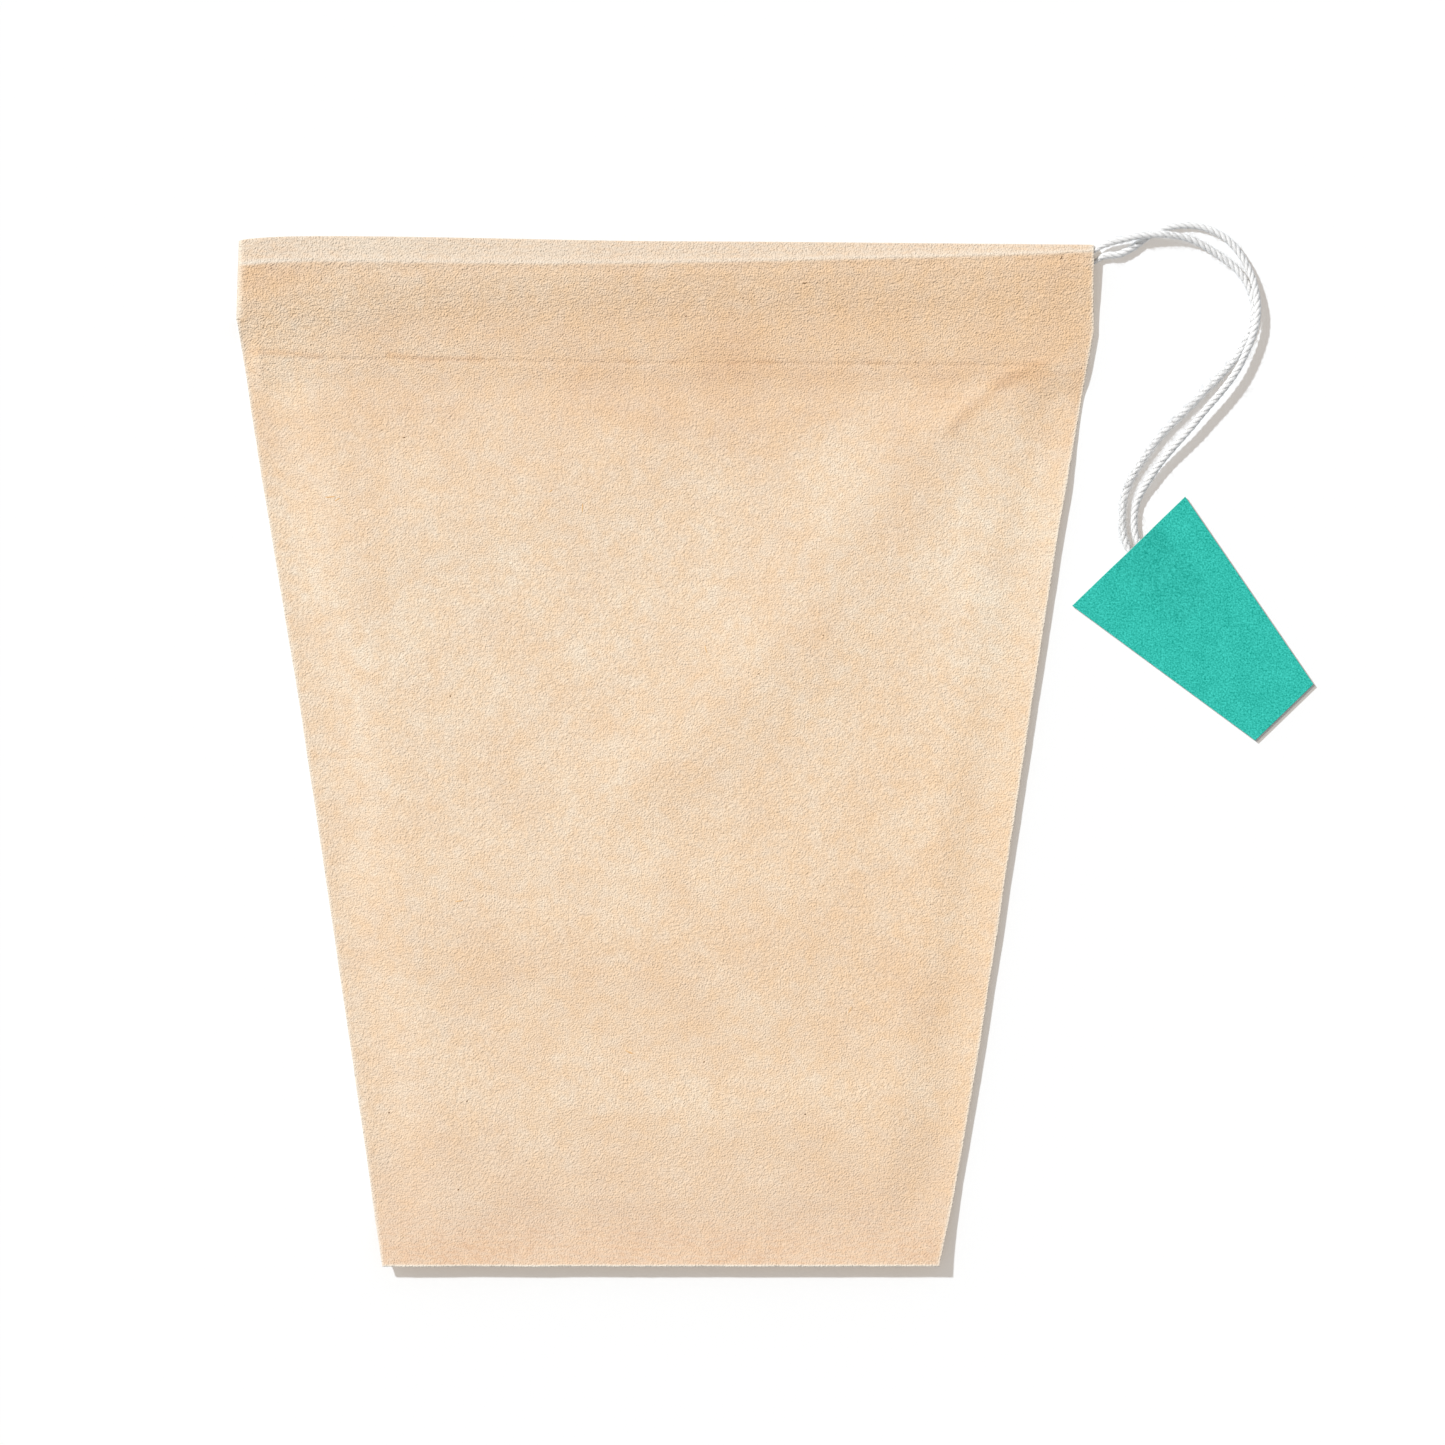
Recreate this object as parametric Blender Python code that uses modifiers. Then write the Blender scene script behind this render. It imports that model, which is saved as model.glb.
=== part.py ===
"""A paper tea filter: a flat drawstring bag of unbleached filter paper with a card tag.

The bag is one sheet of paper. Its top edge is turned inside as a hem round the string,
the sheet is folded once at the left end of the hem, sealed along both tapered sides and
the bottom, and die-cut. It lies on its back, pressed flat, as it is stored.

Metres, +Z up, +X along the hem towards the string, +Y towards the mouth. The origin is
on the table, under the middle of the bag.
"""
import math

import bmesh
import bpy
from mathutils import Vector

# Outline of the bag
BAG_LENGTH = 0.10285
MOUTH_WIDTH = 0.0857
BASE_WIDTH = 0.0558
BASE_SHIFT = -0.00015
LEFT_SHOULDER = 0.00805
RIGHT_SHOULDER = 0.0088
SHOULDER_STEP = 0.0001
BOW_FADE = 0.040

# How far the top fold wanders below its highest line, at places along it
TOP_BOW = [(-0.0428, 0.00032), (-0.0385, 0.0), (-0.0300, -0.00004), (-0.0180, 0.00015),
           (-0.0040, 0.00041), (0.0130, 0.00053), (0.0428, 0.00081)]

# Paper, hem and seals
PAPER = 0.00012
GLUE_GAP = 0.00005
MOUTH_GAP = 0.0001
SEAL_GAP = 0.00006
TUNNEL_DEPTH = 0.0080
HEM_DEPTH = 0.0120
SEAM_WIDTH = 0.0010
DIE_WASTE = 0.0006
FOLD_RADIUS = 0.00011
FRONT_FOLD_RADIUS = 0.00014

# How the flat bag stands off the table and off itself
BASE_CURL = 0.00165
BASE_CURL_REACH = 0.0095
SIDE_CURL = 0.0006
SIDE_CURL_REACH = 0.0120
SIDE_CURL_START = 0.0150
PUFF = 0.0005
PUFF_REACH = 0.008
HEM_STEP_WIDTH = 0.0020
CREST_RIDGE = 0.00012
CREST_WIDTH = 0.00045

# Soft folds in the front, each from one point to another, with its width and height
SOFT_FOLDS = [
    (0.0389, 0.0396, 0.0275, 0.0325, 0.0022, 0.00036),
    (0.0275, 0.0325, 0.0095, 0.0111, 0.0055, 0.00028),
    (0.0158, 0.0104, -0.0025, -0.0021, 0.0050, 0.00024),
    (-0.0330, -0.0170, 0.0100, -0.0200, 0.0070, 0.00018),
    (-0.0100, -0.0330, 0.0220, -0.0360, 0.0065, 0.00016),
    (-0.0330, 0.0200, -0.0040, 0.0290, 0.0060, 0.00018),
]

# Drawstring
CORD_DIAMETER = 0.00075
HEM_CORD_RADIUS = 0.00023
SWELL_REACH = 0.0015
CORD_CLEARANCE = 0.00007
TABLE_GAP = 0.00005
TURN_ROOM = 0.00015
TURN_RADIUS = 0.0018
CORD_END_RADIUS = 0.0002
CORD_IN_TAG = 0.0045

# Depth of the string below the top fold at places along the front and the back hem
FRONT_RUN = [(-0.0403, 0.00243), (-0.0200, 0.00244), (0.0035, 0.0020),
             (0.0235, 0.00142), (0.0360, 0.00096), (0.04285, 0.00062)]
BACK_RUN = [(-0.0403, 0.00603), (-0.0330, 0.00526), (-0.0230, 0.0040), (0.0035, 0.00325),
            (0.0235, 0.00270), (0.0360, 0.00220), (0.04285, 0.00175)]

# The two free strands, from the hem to the tag: the one of the front hem, then that of the back
ON_TABLE = CORD_DIAMETER / 2 + TABLE_GAP
FRONT_STRAND = [
    (0.0439, 0.05060, 0.00100), (0.0459, 0.05118, 0.00123), (0.0482, 0.05158, 0.00123),
    (0.0502, 0.05162, 0.00112), (0.0524, 0.05120, 0.00080), (0.0549, 0.04990, ON_TABLE),
    (0.0577, 0.04750, ON_TABLE), (0.05895, 0.04400, ON_TABLE), (0.05765, 0.04030, ON_TABLE),
    (0.05345, 0.03550, ON_TABLE), (0.0488, 0.03060, ON_TABLE), (0.0459, 0.02530, ON_TABLE),
]
BACK_STRAND = [
    (0.0439, 0.04950, 0.00052), (0.0453, 0.04965, 0.00060), (0.0467, 0.05030, 0.00050),
    (0.0482, 0.05140, ON_TABLE), (0.0499, 0.05225, ON_TABLE), (0.0523, 0.05260, ON_TABLE),
    (0.0556, 0.05160, ON_TABLE), (0.05835, 0.04820, 0.00056), (0.05920, 0.04390, 0.00120),
    (0.05770, 0.03910, 0.00142), (0.0530, 0.03290, 0.00138), (0.0488, 0.02780, 0.00086),
    (0.0470, 0.02430, 0.00050),
]

# Tag
TAG_LENGTH = 0.0224
TAG_WIDE = 0.0157
TAG_NARROW = 0.0081
TAG_CARD = 0.00022
TAG_GLUE = 0.00005
TAG_SLIP = 0.00022
TAG_PLACE = (0.04635, 0.02000)
TAG_TURN = math.radians(44.0)
CORD_IN_AT = (0.0001, 0.0013)
RIDGE_SLOPE = 0.0026
RIDGE_LENGTH = 0.0090
RIDGE_SPARE = 0.00006

# Colours and roughness
PAPER_COLOUR = (0.78, 0.60, 0.42)
PAPER_ROUGHNESS = 0.95
STRING_COLOUR = (0.86, 0.85, 0.82)
STRING_ROUGHNESS = 0.9
CARD_COLOUR = (0.026, 0.523, 0.413)
CARD_ROUGHNESS = 0.55

# Faceting
FRONT_COLUMNS = 18
BACK_COLUMNS = 9
FOLD_FACETS = 5
HEM_FACETS = 2
TUNNEL_ROWS = 4
CROSSING_ROWS = 6
GLUE_ROWS = 5
BODY_ROWS = 21
CURL_ROWS = 5
TAG_COLUMNS = 14
TAG_ROWS = 10
TURN_FACETS = 6
HEM_POINTS = 9
CORD_FACET = 0.0024

TOP_Y = BAG_LENGTH / 2
SHOULDER_ROW = TUNNEL_DEPTH + 2 * PAPER
GLUED = PAPER + GLUE_GAP
FLAPS_APART = PAPER + MOUTH_GAP
SEALED = PAPER + SEAL_GAP
CORD_ROOM = HEM_CORD_RADIUS + CORD_CLEARANCE + PAPER / 2
TURN_X = -MOUTH_WIDTH / 2 + PAPER + TURN_ROOM + CORD_DIAMETER / 2 + TURN_RADIUS
BACK_FLAP_LOW = PAPER / 2 + 2 * FOLD_RADIUS
BACK_FLAP_HIGH = PAPER / 2 + 2 * CORD_ROOM
BACK_FLAP_GLUED = PAPER / 2 + GLUED
FRONT_FLAP_LOW = BACK_FLAP_LOW + FLAPS_APART
CREST = FRONT_FLAP_LOW + 2 * CORD_ROOM
OVER_BACK = BACK_FLAP_HIGH + FLAPS_APART + GLUED
HEM_STACK = 2 * GLUED + FLAPS_APART
BACK_STRING_Z = PAPER / 2 + CORD_ROOM
FRONT_STRING_Z = FRONT_FLAP_LOW + CORD_ROOM


def clamp(value, low=0.0, high=1.0):
    return min(max(value, low), high)


def smooth(value):
    t = clamp(value)
    return t * t * t * (t * (6.0 * t - 15.0) + 10.0)


def mix(a, b, share):
    return a + (b - a) * share


def along(points, x):
    """Value at x of a smooth curve through (x, value) points, level past its ends."""
    if x <= points[0][0]:
        return points[0][1]
    if x >= points[-1][0]:
        return points[-1][1]
    i = max(k for k in range(len(points) - 1) if points[k][0] <= x)
    slopes = []
    for k in (i, i + 1):
        before, after = points[max(k - 1, 0)], points[min(k + 1, len(points) - 1)]
        slopes.append((after[1] - before[1]) / (after[0] - before[0]))
    span = points[i + 1][0] - points[i][0]
    t = (x - points[i][0]) / span
    rise = (2 * t ** 3 - 3 * t ** 2 + 1) * points[i][1] + (3 * t ** 2 - 2 * t ** 3) * points[i + 1][1]
    lean = (t ** 3 - 2 * t ** 2 + t) * slopes[0] + (t ** 3 - t ** 2) * slopes[1]
    return rise + lean * span


def left_cut(depth):
    """X of the die line on the left, at a depth below the top fold."""
    share = clamp((depth - LEFT_SHOULDER) / (BAG_LENGTH - LEFT_SHOULDER))
    return mix(-MOUTH_WIDTH / 2 + SHOULDER_STEP, -BASE_WIDTH / 2 + BASE_SHIFT, share)


def right_cut(depth):
    share = clamp((depth - RIGHT_SHOULDER) / (BAG_LENGTH - RIGHT_SHOULDER))
    return mix(MOUTH_WIDTH / 2, BASE_WIDTH / 2 + BASE_SHIFT, share)


def y_at(x, depth):
    """Y at a depth below the slightly bowed top fold; the base is straight."""
    return TOP_Y - along(TOP_BOW, x) * (1.0 - smooth(depth / BOW_FADE)) - depth


def curl(x, depth):
    """How far the back ply stands off the table: the base and the right side curl up."""
    base = clamp((depth - BAG_LENGTH) / BASE_CURL_REACH + 1.0, 0.0, 1.1) ** 2
    side = clamp((x - right_cut(depth)) / SIDE_CURL_REACH + 1.0, 0.0, 1.1) ** 2
    side *= smooth((depth - SIDE_CURL_START) / SIDE_CURL_REACH)
    return mix(SIDE_CURL * side, BASE_CURL, base)


def soft_folds(x, y):
    total = 0.0
    for x0, y0, x1, y1, width, height in SOFT_FOLDS:
        dx, dy = x1 - x0, y1 - y0
        share = clamp(((x - x0) * dx + (y - y0) * dy) / (dx * dx + dy * dy))
        away = math.hypot(x - x0 - share * dx, y - y0 - share * dy)
        total += height * math.exp(-(away / width) ** 2)
    return total


def ply_gap(x, depth):
    """Middle of the back ply to middle of the front ply, below the tunnel."""
    if depth <= HEM_DEPTH:
        return HEM_STACK
    side = min(x - left_cut(depth), right_cut(depth) - x) - SEAM_WIDTH
    base = BAG_LENGTH - SEAM_WIDTH - depth
    below = depth - HEM_DEPTH
    inside = smooth(side / PUFF_REACH)
    free = smooth(2 * side / PUFF_REACH) * smooth(2 * base / PUFF_REACH) * smooth(2 * below / PUFF_REACH)
    body = SEALED + PUFF * inside * smooth(base / PUFF_REACH) + free * soft_folds(x, y_at(x, depth))
    return mix(HEM_STACK, body, smooth(below / mix(HEM_STEP_WIDTH, PUFF_REACH, inside)))


def run_depths(x):
    """Depths of the front and the back string at x."""
    x = max(x, TURN_X)
    return along(FRONT_RUN, x), along(BACK_RUN, x)


def front_fold_radius(x):
    """The front's top fold is tight, and opens round the string at the right end."""
    front, _ = run_depths(x)
    return mix(CORD_ROOM, FRONT_FOLD_RADIUS, smooth((front - CORD_ROOM) / (2.5 * CORD_ROOM)))


def back_flap(x, depth):
    front, back = run_depths(x)
    if depth < front:
        return BACK_FLAP_LOW
    if depth < back:
        share = ((depth - front) / (back - front)) ** 1.12
        return mix(BACK_FLAP_LOW, BACK_FLAP_HIGH, smooth(share))
    fall = clamp((depth - back) / (TUNNEL_DEPTH - back))
    return mix(BACK_FLAP_HIGH, BACK_FLAP_GLUED, mix(fall, smooth(fall), 0.3))


def steepness(x, depth):
    """Stretch that keeps the plies apart where they run steeply."""
    step = PAPER / 2
    rise = (back_flap(x, depth + step) - back_flap(x, depth - step)) / (2 * step)
    return math.sqrt(1.0 + rise * rise)


def front_flap(x, depth):
    return back_flap(x, depth) + FLAPS_APART * steepness(x, depth)


def front_outer(x, depth):
    if depth >= TUNNEL_DEPTH:
        return PAPER / 2 + curl(x, depth) + ply_gap(x, depth)
    front, back = run_depths(x)
    low = CREST - CREST_RIDGE
    if depth < front:
        radius = front_fold_radius(x)
        start = radius + PAPER / 2
        share = clamp((depth - start) / max(front - start, PAPER))
        ridge = math.exp(-((front - depth) / CREST_WIDTH) ** 2)
        return mix(FRONT_FLAP_LOW + 2 * radius, low, share) + CREST_RIDGE * share * ridge
    if depth < back:
        share = (depth - front) / (back - front)
        valley = math.exp(-((depth - front) / CREST_WIDTH) ** 2) * (1.0 - share)
        valley += math.exp(-((depth - back) / CREST_WIDTH) ** 2) * share
        return mix(CREST, OVER_BACK, smooth(share)) - CREST_RIDGE * (1.0 - valley)
    return front_flap(x, depth) + GLUED * steepness(x, depth)


def back_outer(x, depth):
    return PAPER / 2 + curl(x, depth)


def hem_depth(side, x, stage):
    """Depth at a stage: 0 the top fold, 1 the front string, 2 the back string, 3 the seal."""
    front, back = run_depths(x)
    radius = front_fold_radius(x) if side == "front" else FOLD_RADIUS
    marks = [radius + PAPER / 2, front, back, TUNNEL_DEPTH]
    i = min(int(stage), 2)
    return mix(marks[i], marks[i + 1], stage - i)


def steps(start, end, count):
    return [mix(start, end, (k + 1) / count) for k in range(count)]


def body_depths():
    """Depths of the outer plies' rows below the tunnel; the seams share them."""
    depths = [SHOULDER_ROW] + steps(SHOULDER_ROW, HEM_DEPTH, HEM_FACETS)
    depths += steps(HEM_DEPTH, HEM_DEPTH + HEM_STEP_WIDTH, HEM_FACETS)
    depths += steps(depths[-1], BAG_LENGTH - BASE_CURL_REACH, BODY_ROWS)
    return depths + steps(depths[-1], BAG_LENGTH - SEAM_WIDTH, CURL_ROWS)


def sheet_rows():
    """The sheet from the hem's inner edge, up the flap, over the top fold and down to the base."""
    rows = [("flap", HEM_DEPTH)]
    rows += [("flap", depth) for depth in steps(HEM_DEPTH, TUNNEL_DEPTH, HEM_FACETS)[:-1]]
    stages = [3.0] + steps(3.0, 2.0, TUNNEL_ROWS) + steps(2.0, 1.0, CROSSING_ROWS)
    stages += steps(1.0, 0.0, HEM_FACETS)
    rows += [("flap stage", stage) for stage in stages]
    rows += [("fold", math.pi * k / FOLD_FACETS) for k in range(1, FOLD_FACETS)]
    stages = [0.0] + steps(0.0, 1.0, TUNNEL_ROWS - 1) + steps(1.0, 3.0, 2 * TUNNEL_ROWS)
    rows += [("outer stage", stage) for stage in stages]
    return rows + [("outer", depth) for depth in body_depths() + [BAG_LENGTH + DIE_WASTE]]


def column_x(share, left, right):
    """Share 0 to 1 is the stretch between the seams; below and above it are the two edges."""
    if share < 0.0:
        return right
    if share > 1.0:
        return left
    seam = SEAM_WIDTH + DIE_WASTE
    return mix(right - seam, left + seam, share)


def outer_point(side, share, angle, depth):
    """A point of the outer layer: side is front, back or the left fold between them."""
    trimmed = depth > TUNNEL_DEPTH
    left = left_cut(depth) - DIE_WASTE if trimmed else -MOUTH_WIDTH / 2
    left += PAPER / 2
    right = right_cut(depth) + DIE_WASTE
    near = left + SEAM_WIDTH
    radius = (front_outer(near, depth) - back_outer(near, depth)) / 2
    if side == "fold":
        x = left + radius * (1.0 - math.sin(angle))
        z = back_outer(near, depth) + radius * (1.0 + math.cos(angle))
        return Vector((x, y_at(x, depth), z))
    x = column_x(share, left + radius, right)
    z = front_outer(x, depth) if side == "front" else back_outer(x, depth)
    return Vector((x, y_at(x, depth), z))


def flap_point(side, share, angle, depth):
    """A point of the hem's inner layer; its own left fold stops short of the string's turn."""
    left = TURN_X - PAPER
    high, low = front_flap(left, depth), back_flap(left, depth)
    radius = (high - low) / 2
    if side == "fold":
        x = left - radius * math.sin(angle)
        z = low + radius * (1.0 + math.cos(angle))
        return Vector((x, y_at(x, depth), z))
    x = column_x(share, left, right_cut(depth) + DIE_WASTE)
    z = front_flap(x, depth) if side == "front" else back_flap(x, depth)
    return Vector((x, y_at(x, depth), z))


def sheet_columns():
    """Across the front from right to left, round the left fold, and back across the back."""
    right_edge, left_edge = -1.0, 2.0
    columns = [("front", right_edge, 0.0)]
    columns += [("front", k / FRONT_COLUMNS, 0.0) for k in range(FRONT_COLUMNS + 1)]
    columns += [("front", left_edge, 0.0)]
    columns += [("fold", left_edge, math.pi * k / FOLD_FACETS) for k in range(1, FOLD_FACETS)]
    columns += [("back", left_edge, math.pi)]
    columns += [("back", 1.0 - k / BACK_COLUMNS, math.pi) for k in range(BACK_COLUMNS + 1)]
    columns += [("back", right_edge, math.pi)]
    return columns


def sheet_point(column, row):
    side, share, angle = column
    kind, value = row
    if kind == "flap":
        return flap_point(side, share, angle, value)
    if kind == "outer":
        return outer_point(side, share, angle, value)
    guess = flap_point if kind == "flap stage" else outer_point
    if kind != "fold":
        x = guess(side, share, angle, TUNNEL_DEPTH).x
        return guess(side, share, angle, hem_depth(side, x, value))
    x = outer_point(side, share, angle, TUNNEL_DEPTH).x
    start = hem_depth(side, x, 0.0)
    inner = flap_point(side, share, angle, start)
    outer = outer_point(side, share, angle, start)
    point = inner.lerp(outer, (1.0 - math.cos(value)) / 2)
    point.y += (start - PAPER / 2) * math.sin(value)
    return point


def shown(name, mesh, colour, roughness):
    """Puts a mesh in the model's collection as one named object with its own material."""
    material = bpy.data.materials.new(name)
    material.use_nodes = True
    surface = material.node_tree.nodes["Principled BSDF"]
    surface.inputs["Base Color"].default_value = (*colour, 1.0)
    surface.inputs["Roughness"].default_value = roughness
    surface.inputs["Metallic"].default_value = 0.0
    mesh.materials.append(material)
    thing = bpy.data.objects.new(name, mesh)
    MODEL.objects.link(thing)
    return thing


def helper(name, mesh):
    """A solid that is only joined to, or cut from, a piece of the model."""
    thing = bpy.data.objects.new(name, mesh)
    thing.hide_render = True
    thing.display_type = "WIRE"
    CUTTERS.objects.link(thing)
    return thing


def grid_mesh(name, columns, rows, place):
    """A grid primitive with each vertex moved to place(column, row)."""
    bm = bmesh.new()
    bmesh.ops.create_grid(bm, x_segments=columns, y_segments=rows, size=0.5)
    for vertex in bm.verts:
        column = round((vertex.co.x + 0.5) * columns)
        row = round((vertex.co.y + 0.5) * rows)
        vertex.co = place(column, row)
    mesh = bpy.data.meshes.new(name)
    bm.to_mesh(mesh)
    bm.free()
    return mesh


def cut_open(bm, columns, rows, is_open):
    """Deletes the faces of a grid primitive whose column and row are open."""
    faces = []
    for face in bm.faces:
        middle = face.calc_center_median()
        column, row = int((middle.x + 0.5) * columns), int((middle.y + 0.5) * rows)
        if is_open(column, row):
            faces.append(face)
    bmesh.ops.delete(bm, geom=faces, context="FACES")


def filler(name, across, depths, low, high, is_open=None):
    """A solid that fills the space between two plies; across(depth) lists its places in x."""
    bm = bmesh.new()
    columns, rows = len(across(depths[0])) - 1, len(depths) - 1
    bmesh.ops.create_grid(bm, x_segments=columns, y_segments=rows, size=0.5)
    if is_open:
        cut_open(bm, columns, rows, is_open)
    made = bmesh.ops.extrude_face_region(bm, geom=bm.faces[:])
    raised = {item for item in made["geom"] if isinstance(item, bmesh.types.BMVert)}
    for vertex in bm.verts:
        depth = depths[round((vertex.co.y + 0.5) * rows)]
        x = across(depth)[round((vertex.co.x + 0.5) * columns)]
        z = high(x, depth) if vertex in raised else low(x, depth)
        vertex.co = (x, y_at(x, depth), z)
    bmesh.ops.recalc_face_normals(bm, faces=bm.faces[:])
    mesh = bpy.data.meshes.new(name)
    bm.to_mesh(mesh)
    bm.free()
    return helper(name, mesh)


def flat_outline(name, points, half_thickness):
    """A flat shape: a filled 2D curve with a thickness."""
    curve = bpy.data.curves.new(name, "CURVE")
    curve.dimensions = "2D"
    curve.fill_mode = "BOTH"
    curve.extrude = half_thickness
    spline = curve.splines.new("POLY")
    spline.points.add(len(points) - 1)
    for point, (x, y) in zip(spline.points, points):
        point.co = (x, y, 0.0, 1.0)
    spline.use_cyclic_u = True
    return curve


def curve_mesh(name, curve):
    """The curve's own mesh, with its loose caps welded on."""
    carrier = bpy.data.objects.new(name, curve)
    MODEL.objects.link(carrier)
    bpy.context.view_layer.update()
    evaluated = carrier.evaluated_get(bpy.context.evaluated_depsgraph_get())
    mesh = bpy.data.meshes.new_from_object(evaluated)
    bpy.data.objects.remove(carrier)
    bm = bmesh.new()
    bm.from_mesh(mesh)
    bmesh.ops.remove_doubles(bm, verts=bm.verts[:], dist=0.00001)
    bmesh.ops.recalc_face_normals(bm, faces=bm.faces[:])
    bm.to_mesh(mesh)
    bm.free()
    return mesh


def boolean(thing, cutter, operation):
    modifier = thing.modifiers.new(cutter.name, "BOOLEAN")
    modifier.object = cutter
    modifier.operation = operation


def glue_bands():
    """The glue that holds the hem's flaps to the outer plies, below the tunnel."""
    def across(depth):
        start, end = TURN_X + 2 * SEAM_WIDTH, right_cut(depth) + DIE_WASTE / 2
        return [start] + steps(start, end, FRONT_COLUMNS)

    depths = steps(TUNNEL_DEPTH, HEM_DEPTH, GLUE_ROWS + 1)[:-1]
    return [filler("front_hem_glue", across, depths, front_flap, front_outer),
            filler("back_hem_glue", across, depths, back_outer, back_flap)]


def seam():
    """The sealed seam: down each side from its shoulder, and along the base."""
    waste = DIE_WASTE / 2
    right_side = FRONT_COLUMNS + 1
    below = [depth for depth in body_depths() if depth > RIGHT_SHOULDER]
    depths = [SHOULDER_ROW, RIGHT_SHOULDER] + below + [BAG_LENGTH + waste]

    def across(depth):
        inner_left, inner_right = left_cut(depth) + SEAM_WIDTH, right_cut(depth) - SEAM_WIDTH
        middle = steps(inner_left, inner_right, FRONT_COLUMNS)
        return [left_cut(depth) - waste, inner_left] + middle + [right_cut(depth) + waste]

    def is_open(column, row):
        if column == right_side:
            return row == 0
        return column > 0 and row < len(depths) - 2

    return filler("seam", across, depths, back_outer, front_outer, is_open)


def filter_bag():
    rows, columns = sheet_rows(), sheet_columns()
    mesh = grid_mesh("filter_bag", len(columns) - 1, len(rows) - 1,
                     lambda column, row: sheet_point(columns[column], rows[row]))
    bag = shown("filter_bag", mesh, PAPER_COLOUR, PAPER_ROUGHNESS)
    thicken = bag.modifiers.new("paper", "SOLIDIFY")
    thicken.thickness = PAPER
    thicken.offset = 0.0
    thicken.use_even_offset = True

    for band in glue_bands() + [seam()]:
        boolean(bag, band, "UNION")

    margin = 4 * DIE_WASTE
    reach = MOUTH_WIDTH / 2
    left_top = y_at(-reach, LEFT_SHOULDER)
    outline = [(-reach - margin, TOP_Y + margin), (-reach - margin, left_top),
               (left_cut(LEFT_SHOULDER), left_top), (left_cut(BAG_LENGTH), -TOP_Y),
               (right_cut(BAG_LENGTH), -TOP_Y), (reach, y_at(reach, RIGHT_SHOULDER)),
               (reach, TOP_Y + margin)]
    die = helper("die", curve_mesh("die", flat_outline("die", outline, 20 * CREST)))
    boolean(bag, die, "INTERSECT")
    return bag


def hem_run(points, z):
    """The string inside one hem, from its open end to the turn."""
    places = [mix(MOUTH_WIDTH / 2, TURN_X, k / HEM_POINTS) for k in range(HEM_POINTS + 1)]
    return [Vector((x, y_at(x, along(points, x)), z)) for x in places]


def hem_turn():
    """The string's turn at the left fold, from the back hem to the front hem."""
    front_depth, back_depth = run_depths(TURN_X)
    spread = (back_depth - front_depth) / 2
    middle_y = y_at(TURN_X, front_depth + spread)
    turn = []
    for k in range(1, TURN_FACETS):
        angle = math.pi * k / TURN_FACETS
        x = TURN_X - TURN_RADIUS * math.sin(angle)
        z = mix(BACK_STRING_Z, FRONT_STRING_Z, smooth(k / TURN_FACETS))
        turn.append(Vector((x, middle_y - spread * math.cos(angle), z)))
    return turn


def cord_route():
    """The string's whole route: tag, back strand, back hem, turn, front hem, front strand, tag."""
    back = hem_run(BACK_RUN, BACK_STRING_Z)
    front = hem_run(FRONT_RUN, FRONT_STRING_Z)[::-1]
    from_back = [Vector(point) for point in reversed(BACK_STRAND)]
    from_front = [Vector(point) for point in FRONT_STRAND]
    left_end, right_end = (cord_end(at) for at in CORD_IN_AT)
    return right_end[::-1] + from_back + back + hem_turn() + front + from_front + left_end


def tag_point(across, down, z):
    """A point of the tag, from its middle line and its wide edge, in the model's frame."""
    cos, sin = math.cos(TAG_TURN), math.sin(TAG_TURN)
    return Vector((TAG_PLACE[0] + across * cos + down * sin, TAG_PLACE[1] + across * sin - down * cos, z))


def end_radius(down):
    return mix(CORD_DIAMETER / 2, CORD_END_RADIUS, clamp(down / CORD_IN_TAG))


def cord_radius(point):
    """The string is round where it is free, and pressed in the hem and between the tag's plies."""
    if tag_depth(point) > 0.0:
        return end_radius(tag_depth(point))
    free = smooth((point.x - MOUTH_WIDTH / 2) / SWELL_REACH)
    return mix(HEM_CORD_RADIUS, CORD_DIAMETER / 2, free)


def cord_end(across):
    """The pressed end of the string between the tag's plies, from the wide edge inwards."""
    bed = TAG_CARD + TAG_GLUE
    depths = [0.0, CORD_IN_TAG / 2, CORD_IN_TAG]
    return [tag_point(across, down, bed + end_radius(down)) for down in depths]


def lean_at(before, point, after):
    """The route's slope at a point, from its two neighbours and how far away they are."""
    near, far = (point - before).length, (after - point).length
    if near == 0.0:
        return (after - point) / far
    if far == 0.0:
        return (point - before) / near
    return ((point - before) * (far / near) + (after - point) * (near / far)) / (near + far)


def smooth_route(points):
    """Points read from a smooth curve through the route, closer where it is free."""
    last = len(points) - 1
    leans = [lean_at(points[max(i - 1, 0)], points[i], points[min(i + 1, last)]) for i in range(last + 1)]
    read = [points[0]]
    for i in range(last):
        start, end = points[i], points[i + 1]
        span = (end - start).length
        free = max(start.x, end.x) > MOUTH_WIDTH / 2
        count = max(1, round(span / CORD_FACET)) if free else 1
        for k in range(1, count + 1):
            t = k / count
            read.append(start * (2 * t ** 3 - 3 * t ** 2 + 1) + end * (3 * t ** 2 - 2 * t ** 3)
                        + leans[i] * (span * (t ** 3 - 2 * t ** 2 + t))
                        + leans[i + 1] * (span * (t ** 3 - t ** 2)))
    return read


def drawstring():
    points = smooth_route(cord_route())
    curve = bpy.data.curves.new("drawstring", "CURVE")
    curve.dimensions = "3D"
    curve.bevel_depth = CORD_DIAMETER / 2
    curve.bevel_resolution = 2
    curve.use_fill_caps = True
    spline = curve.splines.new("POLY")
    spline.points.add(len(points) - 1)
    for place, point in zip(spline.points, points):
        place.co = (*point, 1.0)
        place.radius = cord_radius(point) / (CORD_DIAMETER / 2)
    return shown("drawstring", curve, STRING_COLOUR, STRING_ROUGHNESS)


def tag_depth(point):
    """How far a point lies inside the tag's wide edge; negative outside it."""
    dx, dy = point.x - TAG_PLACE[0], point.y - TAG_PLACE[1]
    return dx * math.sin(TAG_TURN) - dy * math.cos(TAG_TURN)


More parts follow.
